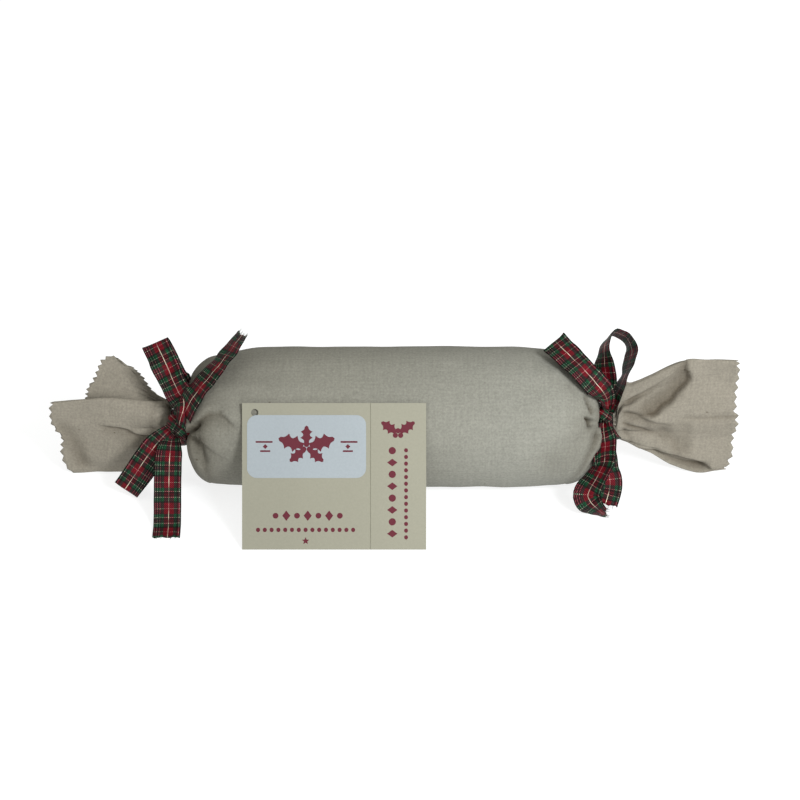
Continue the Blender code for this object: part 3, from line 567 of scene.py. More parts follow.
def calico_cloth(thickness):
    """The one calico cloth round the pudding, gathered at both necks."""
    shares, teeth = cloth_columns()
    body, places = roll_rows(shares)
    left = frill_rows(shares, ROLL_STATIONS[0], LEFT_RING_ANGLES, LEFT_END, LEFT_END_SHARES, LEFT_SPREADS)
    right = frill_rows(shares, ROLL_STATIONS[-1], RIGHT_RING_ANGLES, RIGHT_END, RIGHT_END_SHARES, RIGHT_SPREADS)
    left_run = 1.16 * np.arange(1, FRILL_ROWS + 1)
    along = np.concatenate((-left_run[::-1], places, places[-1] + left_run))
    points = pinked(np.array(left[::-1] + body + right), teeth, along)
    rows, columns = points.shape[:2]
    row = np.arange(rows)[:, None] * np.ones((1, columns))
    share = shares[None, :] * np.ones((rows, 1))
    first, last = FRILL_ROWS, rows - FRILL_ROWS

    normals = cloth_normals(points)
    on_roll = ease(first + 4, first + 12, row) * (1.0 - ease(last - 12, last - 4, row))
    on_left = 1.0 - ease(first - 6, first + 1, row)
    on_right = ease(last - 1, last + 6, row)
    height = on_roll * (0.45 * unevenness(points, 34.0, 3.1) + 0.30 * unevenness(points, 12.0, 9.7))
    height += (on_left + on_right) * (1.3 * unevenness(points, 21.0, 5.3) + 0.4 * unevenness(points, 8.0, 1.9))
    # painted shade laid by the folds on the cloth's colour, kept as a point attribute for the material
    painted_shade = np.zeros((rows, columns))
    for window, folds in (
            (on_roll * (normals @ OUT > -0.2), BODY_FOLDS),
            (on_left * ease(0.385, 0.41, share) * (1.0 - ease(0.575, 0.60, share)), LEFT_FRILL_FOLDS),
            (-on_left * ease(0.66, 0.72, share), LEFT_FLAP_FOLDS),
            (on_right * ease(0.475, 0.50, share) * (1.0 - ease(0.74, 0.765, share)), RIGHT_FRILL_FOLDS)):
        added, fold_shade = fold_heights(points, folds)
        height += window * added
        painted_shade = np.maximum(painted_shade, np.abs(window) * fold_shade)
    points = points + normals * height[:, :, None]
    points[:, :, 2] = np.maximum(points[:, :, 2], 0.5)

    around = shares * math.tau * ROLL_RADIUS * WRAP_ANGLE / 360.0
    uvs = np.stack(np.meshgrid(along, around, indexing="ij"), axis=2)
    cloth = new_piece("calico_cloth", points.reshape(-1, 3), grid_faces(rows, columns), uvs.reshape(-1, 2),
                      {"painted_shade": painted_shade})
    cloth.data.flip_normals()
    thicken(cloth, thickness, -1.0)
    cloth.data.shade_smooth()
    return cloth


# ---------------------------------------------------------------- the ribbons


def bow_point(centre, place):
    return centre + ALONG * place[0] + UP * place[1] + OUT * place[2]


def knot_centre(knot):
    """The knot's centre: its height, and its distance in front of the leaning plane through the axis."""
    rise = (knot[1] - AXIS_HEIGHT - KNOT_OUT * OUT[2]) / UP[2]
    return np.array((knot[0], 0.0, AXIS_HEIGHT)) + UP * rise + OUT * KNOT_OUT


def push_needed(cloth_tree, point, least):
    """How far out a ribbon point has to move to clear the cloth, and which way."""
    push = OUT
    if ROLL_STATIONS[0][0] < point[0] < ROLL_STATIONS[-1][0]:
        push = np.array((0.0, point[1], point[2] - AXIS_HEIGHT))
        push = push / np.linalg.norm(push)
    for step in range(60):
        moved = Vector((point + push * 0.25 * step) * MM)
        nearest, normal, _, distance = cloth_tree.find_nearest(moved)
        if distance > least * MM and (moved - nearest).dot(normal) > 0.0:
            return push, 0.25 * step
    return push, 0.25 * step


def softened(values):
    """Spread each push to its neighbours along the ribbon, and smooth the result."""
    padded = np.pad(values, ((2, 2), (0, 0)), mode="edge")
    highest = np.max([padded[shift:shift + len(values)] for shift in range(5)], axis=0)
    padded = np.pad(highest, ((2, 2), (0, 0)), mode="edge")
    weights = (0.12, 0.22, 0.32, 0.22, 0.12)
    return sum(weight * padded[shift:shift + len(values)] for shift, weight in enumerate(weights))


def ribbon_strip(name, rows, centre, cloth_tree):
    """Points and UV places of one free strip of ribbon, as a grid from the knot outwards."""
    path = even_path([[*bow_point(centre, place), *across] for place, across in rows], 1.3)
    middles = path[:, :3]
    across = path[:, 3:]
    sides = across[:, :1] * ALONG + across[:, 1:2] * UP + across[:, 2:] * OUT
    tangents = np.gradient(middles, axis=0)
    tangents /= np.linalg.norm(tangents, axis=1)[:, None]
    sides -= tangents * np.sum(sides * tangents, axis=1)[:, None]
    sides /= np.linalg.norm(sides, axis=1)[:, None]
    faces_out = np.cross(tangents, sides)
    runs = np.concatenate(([0.0], np.cumsum(np.linalg.norm(np.diff(middles, axis=0), axis=1))))
    spread = ease(0.0, BUNCHED_REACH, np.linalg.norm(middles - centre, axis=1))
    width = RIBBON_WIDTH * (BUNCHED_SHARE + (1.0 - BUNCHED_SHARE) * spread)

    least = np.full(len(middles), CLEARANCE)
    if name in ("upper_loop", "lower_loop"):
        least += LAYER_GAP * (1.0 - ease(0.42, 0.58, np.arange(len(middles)) / len(middles)))
    pushes = np.zeros((len(middles), 3))
    directions = np.zeros((len(middles), 3, 3))
    for index, (middle, side, half) in enumerate(zip(middles, sides, width / 2.0)):
        for column, place in enumerate((-1.0, 0.0, 1.0)):
            directions[index, column], pushes[index, column] = push_needed(cloth_tree, middle + side * half * place,
                                                                           least[index])
    pushes = softened(pushes)

    shares = np.linspace(-0.5, 0.5, ACROSS)
    seed = sum(map(ord, name))
    points = []
    for index, middle in enumerate(middles):
        run = runs[index]
        double = 2.0 * shares
        weights = np.stack((double * (double - 1.0) / 2.0, 1.0 - double ** 2, double * (double + 1.0) / 2.0), axis=1)
        shift = weights @ (directions[index] * pushes[index][:, None])
        bunch = 1.0 - spread[index]
        lift = bunch * 0.8 * np.cos(math.tau * 1.6 * shares + 0.4 * seed)
        lift += 0.30 * np.abs(double) ** 3 * np.sin(math.tau * run / 17.0 + seed + 1.3 * np.sign(shares))
        lift += 0.18 * np.sin(math.tau * run / 9.5 + 2.0 * seed + 2.0 * shares)
        points.append(middle + sides[index] * (width[index] * shares)[:, None] + shift
                      + faces_out[index] * (lift * ease(0.0, 4.0, run))[:, None])
    points = np.array(points)
    points[:, :, 2] = np.maximum(points[:, :, 2], FLOOR_CLEARANCE)
    uvs = np.stack(np.meshgrid(runs + 3.7 * seed, (shares + 0.5) * RIBBON_WIDTH, indexing="ij"), axis=2)
    return points, uvs


def cut_end(points, trim):
    """Shape a strip's cut end: trim gives how much is cut off at each point across."""
    steps = 5
    direction = points[-1] - points[-2]
    direction = direction / np.linalg.norm(direction, axis=1)[:, None]
    for back in range(steps):
        weight = 1.0 - back / steps
        points[-1 - back] = points[-1 - back] - direction * (trim * weight)[:, None]
    return points


def thread(start, direction, length, radius, place):
    """A loose thread at a cut end: a thin three-sided spike, with the ribbon's UV place."""
    direction = direction / np.linalg.norm(direction)
    side = np.cross(direction, (0.3, 0.5, 0.8))
    side /= np.linalg.norm(side)
    other = np.cross(direction, side)
    bend = side * 0.25 * length
    points = []
    for share, thick in ((0.0, 1.0), (0.5, 0.9), (1.0, 0.5)):
        middle = start + direction * length * share + bend * share ** 2
        for turn in range(3):
            angle = math.tau * turn / 3.0
            points.append(middle + radius * thick * (side * math.cos(angle) + other * math.sin(angle)))
    points.append(start - direction * 0.3)
    points.append(start + direction * (length + 0.2) + bend)
    faces = grid_faces(3, 3, closed=True)
    faces = [face[::-1] for face in faces]
    faces += [(9, (turn + 1) % 3, turn) for turn in range(3)]
    faces += [(10, 6 + turn, 6 + (turn + 1) % 3) for turn in range(3)]
    return points, faces, [place] * len(points)


def knot_body(centre, size, turn):
    """The knot: the ribbon wound once round the bow's middle, a folded barrel."""
    around, across = 48, 25
    along = ALONG * math.cos(turn) + UP * math.sin(turn)
    up = UP * math.cos(turn) - ALONG * math.sin(turn)
    points, uvs = [], []
    for step in range(around):
        angle = math.tau * step / around
        for column in range(across):
            share = column / (across - 1) - 0.5
            reach = (1.0 - min(1.0, abs(2.0 * share)) ** 3.2) ** 0.5
            fold = 0.07 * math.cos(math.tau * (2.6 * share + 0.12 * math.sin(angle + 0.6)))
            reach *= 0.97 + fold
            points.append(centre + along * (2.0 * size[0] * share * (1.0 + 0.08 * math.sin(2.0 * angle + 1.0)))
                          + up * size[1] * reach * math.cos(angle) + OUT * size[2] * reach * math.sin(angle))
            uvs.append((0.72 * size[1] * angle, (share + 0.5) * RIBBON_WIDTH))
    return closed_tube(points, uvs, around, across)


def neck_band(neck, radius, half_width, lean):
    """The ribbon's band round the neck: a bunched, corrugated ring that leans along the roll."""
    around, section = 72, 14
    points, uvs = [], []
    for step in range(around):
        angle = math.tau * step / around
        outward = np.array((0.0, -math.sin(angle), math.cos(angle)))
        middle = np.array(neck) + outward * radius + ALONG * lean * max(-0.3, -math.cos(angle))
        for column in range(section):
            turn = math.tau * column / section
            ripple = 0.22 * math.cos(3.0 * turn + 1.2 * math.sin(3.0 * angle))
            points.append(middle + ALONG * half_width * math.cos(turn) + outward * (0.8 + ripple) * math.sin(turn))
            uvs.append((radius * angle, RIBBON_WIDTH * (0.5 + 0.5 * math.cos(turn))))
    return closed_tube(points, uvs, around, section, wrapped=True)


def closed_tube(points, uvs, around, across, wrapped=False):
    """Faces of a tube closed round its length; its last row of UV places goes on past the first."""
    points = np.array(points).reshape(around, across, 3)
    uvs = np.array(uvs).reshape(around, across, 2)
    step = uvs[1] - uvs[0]
    points = np.concatenate((points, points[:1]))
    uvs = np.concatenate((uvs, uvs[-1:] + step))
    faces = grid_faces(around + 1, across, closed=wrapped)
    return points.reshape(-1, 3), faces, uvs.reshape(-1, 2)


def joined(name, meshes):
    """One object from several lists of points, faces and UV places."""
    points, faces, uvs = [], [], []
    for mesh_points, mesh_faces, mesh_uvs in meshes:
        shift = len(points)
        points.extend(map(tuple, mesh_points))
        uvs.extend(map(tuple, mesh_uvs))
        faces.extend(tuple(shift + corner for corner in face) for face in mesh_faces)
    return new_piece(name, points, faces, uvs)


def weld(target, distance):
    """Merge doubled points and turn the faces outwards."""
    only(target)
    bpy.ops.object.mode_set(mode="EDIT")
    bpy.ops.mesh.select_all(action="SELECT")
    bpy.ops.mesh.remove_doubles(threshold=distance * MM)
    bpy.ops.mesh.normals_make_consistent(inside=False)
    bpy.ops.object.mode_set(mode="OBJECT")


def join_pieces(pieces):
    """Join pieces into the first of them."""
    bpy.ops.object.select_all(action="DESELECT")
    for piece in pieces:
        piece.select_set(True)
    bpy.context.view_layer.objects.active = pieces[0]
    bpy.ops.object.join()
    return pieces[0]


def bow(name, strips, knot, size, shift, turn, neck, band_lean, cloth_tree):
    """One whole bow: the band, its knot, the loops and the tails."""
    centre = knot_centre(knot)
    free, loose = [], []
    for strip, rows in strips.items():
        points, uvs = ribbon_strip(strip, rows, centre, cloth_tree)
        if strip.endswith("tail"):
            across = np.linspace(-1.0, 1.0, ACROSS)
            ragged = 0.35 * np.sin(7.0 * across + len(strip)) + 0.25 * np.sin(17.0 * across)
            notch = {"upper_tail": 1.2 * (1.0 - np.abs(across)), "front_tail": 3.2 * (1.0 + across)}
            points = cut_end(points, ragged + notch.get(strip, 0.0))
            direction = points[-1].mean(axis=0) - points[-4].mean(axis=0)
            count = {"upper_tail": 8, "front_tail": 9}.get(strip, 4)
            for index in range(count):
                column = round((ACROSS - 1) * (index + 0.5) / count)
                splay = (points[-1][column] - points[-1].mean(axis=0)) * 0.05
                length = 0.7 + 1.5 * abs(math.sin(3.7 * index + len(strip)))
                loose.append(thread(points[-1][column], direction + splay, length, 0.11,
                                    (uvs[-1][column][0], 0.2 if index % 2 else 5.0)))
        free.append((points.reshape(-1, 3), grid_faces(*points.shape[:2]), uvs.reshape(-1, 2)))
    ribbons = joined(name, free)
    thicken(ribbons, RIBBON_THICKNESS, 0.0)
    solids = joined(name + "_solids", [knot_body(bow_point(centre, shift), size, turn), neck_band(neck, 9.2, 3.9, band_lean)])
    weld(solids, 0.02)
    threads = joined(name + "_threads", loose)
    whole = join_pieces([ribbons, solids, threads])
    for vertex in whole.data.vertices:
        vertex.co.z = max(vertex.co.z, 0.0)
    whole.data.shade_smooth()
    return whole


# ---------------------------------------------------------------- the tag


def tag_place():
    """Where the card's middle is and how it leans, as a matrix in metres."""
    out = Vector((0.0, -math.sin(TAG_SLOPE), math.cos(TAG_SLOPE)))
    up = Vector((0.0, math.cos(TAG_SLOPE), math.sin(TAG_SLOPE)))
    back = ROLL_RADIUS + TAG_GAP
    foot = -(AXIS_HEIGHT + back * out.z) / up.z
    middle = Vector((TAG_CENTRE_X, 0.0, AXIS_HEIGHT)) + out * (back + TAG_THICKNESS / 2.0) + up * (foot + TAG_HEIGHT / 2.0)
    return Matrix.Translation(middle * MM) @ Matrix.Rotation(TAG_SLOPE, 4, "X")


def settle_on_tag(piece):
    """Put a piece that was made flat over the card's middle into its leaning place."""
    only(piece)
    bpy.ops.object.transform_apply(location=True, rotation=True, scale=True)
    piece.data.transform(tag_place())
    piece.data.update()


def printed_shape(outline, middle, low, high):
    """A flat printed shape with an outline in millimetres round its middle, low and high above the card."""
    bpy.ops.object.select_all(action="DESELECT")
    bpy.ops.mesh.primitive_circle_add(vertices=len(outline), radius=MM, fill_type="NGON")
    shape = bpy.context.object
    for vertex, (x, y) in zip(shape.data.vertices, outline):
        vertex.co = Vector((middle[0] + x, middle[1] + y, low)) * MM
    bpy.ops.object.mode_set(mode="EDIT")
    bpy.ops.mesh.select_all(action="SELECT")
    bpy.ops.mesh.extrude_region_move(TRANSFORM_OT_translate={"value": (0.0, 0.0, (high - low) * MM)})
    bpy.ops.mesh.select_all(action="SELECT")
    bpy.ops.mesh.normals_make_consistent(inside=False)
    bpy.ops.object.mode_set(mode="OBJECT")
    return shape


def rounded_outline(width, height, corner, steps):
    """Outline of a rectangle with rounded corners."""
    outline = []
    for quarter in range(4):
        turn = quarter * math.pi / 2.0
        middle_x = (width / 2.0 - corner) * (1 if quarter in (0, 3) else -1)
        middle_y = (height / 2.0 - corner) * (1 if quarter in (0, 1) else -1)
        for step in range(steps + 1):
            angle = turn + math.pi / 2.0 * step / steps
            outline.append((middle_x + corner * math.cos(angle), middle_y + corner * math.sin(angle)))
    return outline


def circle_outline(radius, steps=20):
    return [(radius * math.cos(math.tau * step / steps), radius * math.sin(math.tau * step / steps))
            for step in range(steps)]


def diamond_outline(width, height):
    return [(width / 2.0, 0.0), (0.0, height / 2.0), (-width / 2.0, 0.0), (0.0, -height / 2.0)]


def bar_outline(width, height):
    return rounded_outline(width, height, min(width, height) / 2.001, 4)


def holly_outline(length, breadth, turn):
    """Outline of a holly leaf from its stalk at the middle, turned by an angle: spines with hollows between."""
    side = []
    spines = 3
    for step in range(spines * 6 + 1):
        share = step / (spines * 6)
        spine = abs(((share * spines) % 1.0) - 0.5) * 2.0
        belly = math.sin(math.pi * min(1.0, 0.06 + 0.94 * share)) ** 0.6
        side.append((length * share, breadth * belly * (0.50 + 0.50 * spine ** 2.0) + 0.05))
    outline = side + [(x, -y) for x, y in reversed(side)]
    return [(x * math.cos(turn) - y * math.sin(turn), x * math.sin(turn) + y * math.cos(turn)) for x, y in outline]


def star_outline(radius, points, inner):
    outline = []
    for step in range(2 * points):
        reach = radius if step % 2 == 0 else radius * inner
        angle = math.pi * step / points + math.pi / 2.0
        outline.append((reach * math.cos(angle), reach * math.sin(angle)))
    return outline


def tag_print():
    """The generic print: a holly sprig on the label, a row of ornaments under it and a column on the flap."""
    top = TAG_THICKNESS / 2.0
    label_top = top + 0.09
    middle_x, middle_y = LABEL_MIDDLE
    shapes = []
    for angle in (18.0, 162.0, 90.0, -40.0, 220.0):
        length, breadth = (13.5, 4.6) if angle in (18.0, 162.0) else (9.5, 3.4)
        turn = math.radians(angle)
        start = (middle_x + 1.9 * math.cos(turn), middle_y - 0.5 + 1.9 * math.sin(turn))
        shapes.append(printed_shape(holly_outline(length, breadth, turn), start, label_top - 0.03, label_top + 0.04))
    for x, y in ((-1.5, -0.9), (1.5, -0.9), (0.0, 1.7)):
        shapes.append(printed_shape(circle_outline(1.45), (middle_x + x, middle_y - 0.5 + y), label_top - 0.02,
                                    label_top + 0.05))
    for side in (-1.0, 1.0):
        for x, width in ((22.2, 9.0), (21.6, 5.4)):
            y = 2.4 if width > 6.0 else -2.4
            shapes.append(printed_shape(bar_outline(width, 0.9), (middle_x + side * x, middle_y + y),
                                        label_top - 0.03, label_top + 0.04))
        shapes.append(printed_shape(diamond_outline(2.6, 2.6), (middle_x + side * 21.6, middle_y), label_top - 0.03,
                                    label_top + 0.04))
    for index in range(7):
        x = -13.8 + (index - 3) * 5.6
        outline = diamond_outline(4.2, 5.4) if index % 2 else circle_outline(1.5)
        shapes.append(printed_shape(outline, (x, -20.6), top - 0.03, top + 0.04))
    for index in range(15):
        shapes.append(printed_shape(bar_outline(2.1, 2.3), (-14.9 + (index - 7) * 3.55, -28.0), top - 0.03,
                                    top + 0.04))
    shapes.append(printed_shape(star_outline(2.0, 5, 0.45), (-14.9, -33.8), top - 0.03, top + 0.04))
    for angle in (35.0, 145.0):
        turn = math.radians(angle)
        shapes.append(printed_shape(holly_outline(9.4, 3.3, turn),
                                    (33.4 + 1.2 * math.cos(turn), 23.0), top - 0.03, top + 0.04))
    for x, y in ((-1.4, -1.2), (1.4, -1.2), (0.0, 1.2)):
        shapes.append(printed_shape(circle_outline(1.35), (33.4 + x, 22.6 + y), top - 0.02, top + 0.05))
    for index in range(8):
        outline = diamond_outline(5.4, 4.0) if index % 2 else circle_outline(1.9)
        shapes.append(printed_shape(outline, (30.4, 13.4 - index * 6.2), top - 0.03, top + 0.04))
    for index in range(14):
        shapes.append(printed_shape(bar_outline(2.0, 2.2), (37.6, 13.6 - index * 3.5), top - 0.03, top + 0.04))
    return join_pieces(shapes)


# ---------------------------------------------------------------- materials


def linear(colour):
    """Linear colour of an sRGB one in 0 to 255."""
    values = [channel / 255.0 for channel in colour]
    return (*(value / 12.92 if value <= 0.04045 else ((value + 0.055) / 1.055) ** 2.4 for value in values), 1.0)


class Nodes:
    """Adds linked nodes to a node tree in short calls."""

    def __init__(self, tree):
        self.tree = tree

    def add(self, kind, inputs=None, **settings):
        node = self.tree.nodes.new(kind)
        for key, value in settings.items():
            setattr(node, key, value)
        for key, value in (inputs or {}).items():
            if isinstance(value, bpy.types.NodeSocket):
                self.tree.links.new(value, node.inputs[key])
            else:
                node.inputs[key].default_value = value
        return node

    def math(self, operation, first, second=0.0, third=0.0):
        return self.add("ShaderNodeMath", {0: first, 1: second, 2: third}, operation=operation).outputs[0]

    def mix(self, factor, first, second, blend="MIX"):
        node = self.add("ShaderNodeMix", data_type="RGBA", blend_type=blend)
        for socket, value in ((node.inputs[0], factor), (node.inputs[6], first), (node.inputs[7], second)):
            if isinstance(value, bpy.types.NodeSocket):
                self.tree.links.new(value, socket)
            else:
                socket.default_value = value
        return node.outputs[2]

    def ramp(self, factor, stops, interpolation="LINEAR"):
        node = self.add("ShaderNodeValToRGB", {0: factor})
        node.color_ramp.interpolation = interpolation
        elements = node.color_ramp.elements
        while len(elements) > 1:
            elements.remove(elements[-1])
        elements[0].position = stops[0][0]
        elements[0].color = stops[0][1]
        for position, colour in stops[1:]:
            elements.new(position).color = colour
        return node.outputs[0]


def grey(value):
    return (value, value, value, 1.0)


def new_group(name, inputs, outputs):
    """A shader node group with named inputs and outputs: (name, kind, default)."""
    tree = bpy.data.node_groups.new(name, "ShaderNodeTree")
    for label, kind, default in inputs:
        socket = tree.interface.new_socket(name=label, in_out="INPUT", socket_type="NodeSocket" + kind)
        if default is not None:
            socket.default_value = default
    for label, kind in outputs:
        tree.interface.new_socket(name=label, in_out="OUTPUT", socket_type="NodeSocket" + kind)
    nodes = Nodes(tree)
    return tree, nodes, nodes.add("NodeGroupInput").outputs, nodes.add("NodeGroupOutput").inputs


def weave_group():
    """A plain weave: yarns over and under each other, uneven in thickness, with slubs."""
    tree, nodes, given, result = new_group(
        "plain_weave", [("Vector", "Vector", None), ("Pitch", "Float", 0.00045), ("Slub", "Float", 0.5)],
        [("Height", "Float"), ("Slub", "Float"), ("Warp On Top", "Float")])
    parts = nodes.add("ShaderNodeSeparateXYZ", {0: given["Vector"]}).outputs
    wobble = nodes.add("ShaderNodeTexNoise", {"Vector": given["Vector"], "Scale": 260.0, "Detail": 2.0}).outputs[0]
    wobble = nodes.math("MULTIPLY", nodes.math("SUBTRACT", wobble, 0.5), 1.4)
    along = nodes.math("ADD", nodes.math("DIVIDE", parts[0], given["Pitch"]), wobble)
    across = nodes.math("ADD", nodes.math("DIVIDE", parts[1], given["Pitch"]), wobble)
    ridge_along = nodes.math("ABSOLUTE", nodes.math("SINE", nodes.math("MULTIPLY", along, math.pi)))
    ridge_across = nodes.math("ABSOLUTE", nodes.math("SINE", nodes.math("MULTIPLY", across, math.pi)))
    cell = nodes.math("ADD", nodes.math("FLOOR", along), nodes.math("FLOOR", across))
    over = nodes.math("PINGPONG", cell, 1.0)
    height = nodes.add("ShaderNodeMix", {0: over, 2: ridge_along, 3: ridge_across}).outputs[0]
    stretched = nodes.add("ShaderNodeMapping", {"Vector": given["Vector"], "Scale": (1.0, 0.05, 1.0)}).outputs[0]
    weft_slub = nodes.add("ShaderNodeTexNoise", {"Vector": stretched, "Scale": 900.0, "Detail": 1.0}).outputs[0]
    stretched = nodes.add("ShaderNodeMapping", {"Vector": given["Vector"], "Scale": (0.05, 1.0, 1.0)}).outputs[0]
    warp_slub = nodes.add("ShaderNodeTexNoise", {"Vector": stretched, "Scale": 900.0, "Detail": 1.0}).outputs[0]
    slub = nodes.math("SUBTRACT", nodes.math("ADD", weft_slub, warp_slub), 1.0)
    tree.links.new(nodes.math("ADD", height, nodes.math("MULTIPLY", slub, given["Slub"])), result["Height"])
    tree.links.new(slub, result["Slub"])
    tree.links.new(over, result["Warp On Top"])
    return tree


def new_material(name, roughness):
    made = bpy.data.materials.new(name)
    made.use_nodes = True
    shader = made.node_tree.nodes["Principled BSDF"]
    shader.inputs["Roughness"].default_value = roughness
    return made, Nodes(made.node_tree), shader


def calico_material(colour, warm, weave):
    """Unbleached calico: a plain weave with slubs, soft blotches and flecks of seed husk, with painted shade towards
    the left end, near the necks and in the folds.
    """
    made, nodes, shader = new_material("unbleached_calico", 0.9)
    shader.inputs["Specular IOR Level"].default_value = 0.1
    coords = nodes.add("ShaderNodeTexCoord").outputs
    woven = nodes.add("ShaderNodeGroup", node_tree=weave)
    nodes.tree.links.new(coords["UV"], woven.inputs["Vector"])
    woven.inputs["Pitch"].default_value = 0.00046
    blotch = nodes.add("ShaderNodeTexNoise", {"Vector": coords["Object"], "Scale": 20.0, "Detail": 4.0,
                                               "Roughness": 0.6}).outputs[0]
    fine = nodes.add("ShaderNodeTexNoise", {"Vector": coords["Object"], "Scale": 850.0, "Detail": 2.0,
                                             "Roughness": 0.7}).outputs[0]
    place = nodes.add("ShaderNodeSeparateXYZ", {0: coords["Object"]}).outputs
    far = nodes.add("ShaderNodeMapRange", {0: nodes.math("ABSOLUTE", place[0]), 1: 0.104, 2: 0.124},
                    interpolation_type="SMOOTHSTEP").outputs[0]
    # painted shade: the roll's colour darkens from x = 60 mm towards the left end, down to 0.76 at x = -100 mm,
    # standing in for the light falling off to the left
    painted_left_shade = nodes.ramp(nodes.math("MULTIPLY_ADD", place[0], 5.0, 0.5), [(0.0, (0.76, 0.74, 0.72, 1.0)),
                                                                           (0.40, (0.90, 0.89, 0.87, 1.0)), (0.80, grey(1.0))])
    # painted shade: the roll's colour darkens towards the gathered necks, to about 0.82 between |x| = 88 mm and 110 mm,
    # standing in for shade in the pleats there
    gathered = nodes.ramp(nodes.math("MULTIPLY", nodes.math("ABSOLUTE", place[0]), 8.0),
                          [(0.70, grey(1.0)), (0.88, (0.84, 0.82, 0.80, 1.0))])
    roll = nodes.mix(1.0, nodes.mix(1.0, (*colour, 1.0), painted_left_shade, "MULTIPLY"), gathered, "MULTIPLY")
    base = nodes.mix(far, roll, (*warm, 1.0))
    shade = nodes.ramp(blotch, [(0.30, grey(0.96)), (0.70, grey(1.04))])
    base = nodes.mix(1.0, base, shade, "MULTIPLY")
    speckle = nodes.ramp(fine, [(0.30, grey(0.86)), (0.70, grey(1.13))])
    base = nodes.mix(1.0, base, speckle, "MULTIPLY")
    streak = nodes.ramp(nodes.math("ADD", woven.outputs["Slub"], 0.5), [(0.25, grey(0.95)), (0.75, grey(1.045))])
    base = nodes.mix(1.0, base, streak, "MULTIPLY")
    flecks = nodes.add("ShaderNodeTexVoronoi", {"Vector": coords["UV"], "Scale": 150.0, "Randomness": 1.0})
    sizes = nodes.add("ShaderNodeSeparateColor", {0: flecks.outputs["Color"]}).outputs
    chosen = nodes.math("GREATER_THAN", sizes[0], 0.84)
    reach = nodes.math("MULTIPLY_ADD", sizes[1], 0.09, 0.05)
    near = nodes.math("SUBTRACT", 1.0, nodes.math("SMOOTH_MIN", nodes.math("DIVIDE", flecks.outputs["Distance"], reach),
                                                 1.0, 0.3))
    fleck = nodes.math("MULTIPLY", nodes.math("MULTIPLY", near, chosen), 0.9)
    base = nodes.mix(fleck, base, (0.06, 0.045, 0.03, 1.0))
    # painted shade: where the folds laid shade, the colour is mixed towards a darker, browner copy of itself
    painted_shade = nodes.add("ShaderNodeAttribute", attribute_name="painted_shade").outputs["Fac"]
    base = nodes.mix(painted_shade, base, nodes.mix(1.0, base, (0.30, 0.25, 0.20, 1.0), "MULTIPLY"))
    nodes.tree.links.new(base, shader.inputs["Base Color"])
    bump = nodes.add("ShaderNodeBump", {"Strength": 0.55, "Distance": 0.00012, "Height": woven.outputs["Height"]})
    crumple = nodes.add("ShaderNodeTexNoise", {"Vector": coords["Object"], "Scale": 85.0, "Detail": 3.0,
                                                "Roughness": 0.55}).outputs[0]
    soft = nodes.add("ShaderNodeBump", {"Strength": 0.35, "Distance": 0.0011, "Height": crumple,
                                         "Normal": bump.outputs[0]})
    nodes.tree.links.new(soft.outputs[0], shader.inputs["Normal"])
    return made


RED = (0.124, 0.002, 0.008, 1.0)
GREEN = (0.004, 0.050, 0.020, 1.0)
BLACK = (0.0018, 0.0020, 0.0016, 1.0)
WHITE = (0.42, 0.36, 0.28, 1.0)
DARK_RED = (0.024, 0.003, 0.005, 1.0)
WARP_SETT = [
    (0.0, BLACK), (0.65, WHITE), (0.9, BLACK), (1.8, WHITE), (2.05, GREEN), (2.5, BLACK),
    (3.2, WHITE), (3.45, BLACK), (4.0, GREEN), (5.5, RED), (7.85, WHITE), (8.15, RED), (10.7, GREEN), (12.2, BLACK),
    (12.7, DARK_RED), (13.4, WHITE), (13.7, BLACK),
]
WEFT_SETT = [
    (0.0, RED), (2.6, WHITE), (2.9, RED), (5.6, GREEN), (7.4, WHITE), (7.75, BLACK), (8.6, DARK_RED), (9.8, BLACK),
    (10.5, WHITE), (10.85, GREEN), (12.8, BLACK), (13.6, RED),
]
SETT_REPEAT = 14.0
WARP_SHARE = 0.6                # how much the lengthways threads show where stripes cross


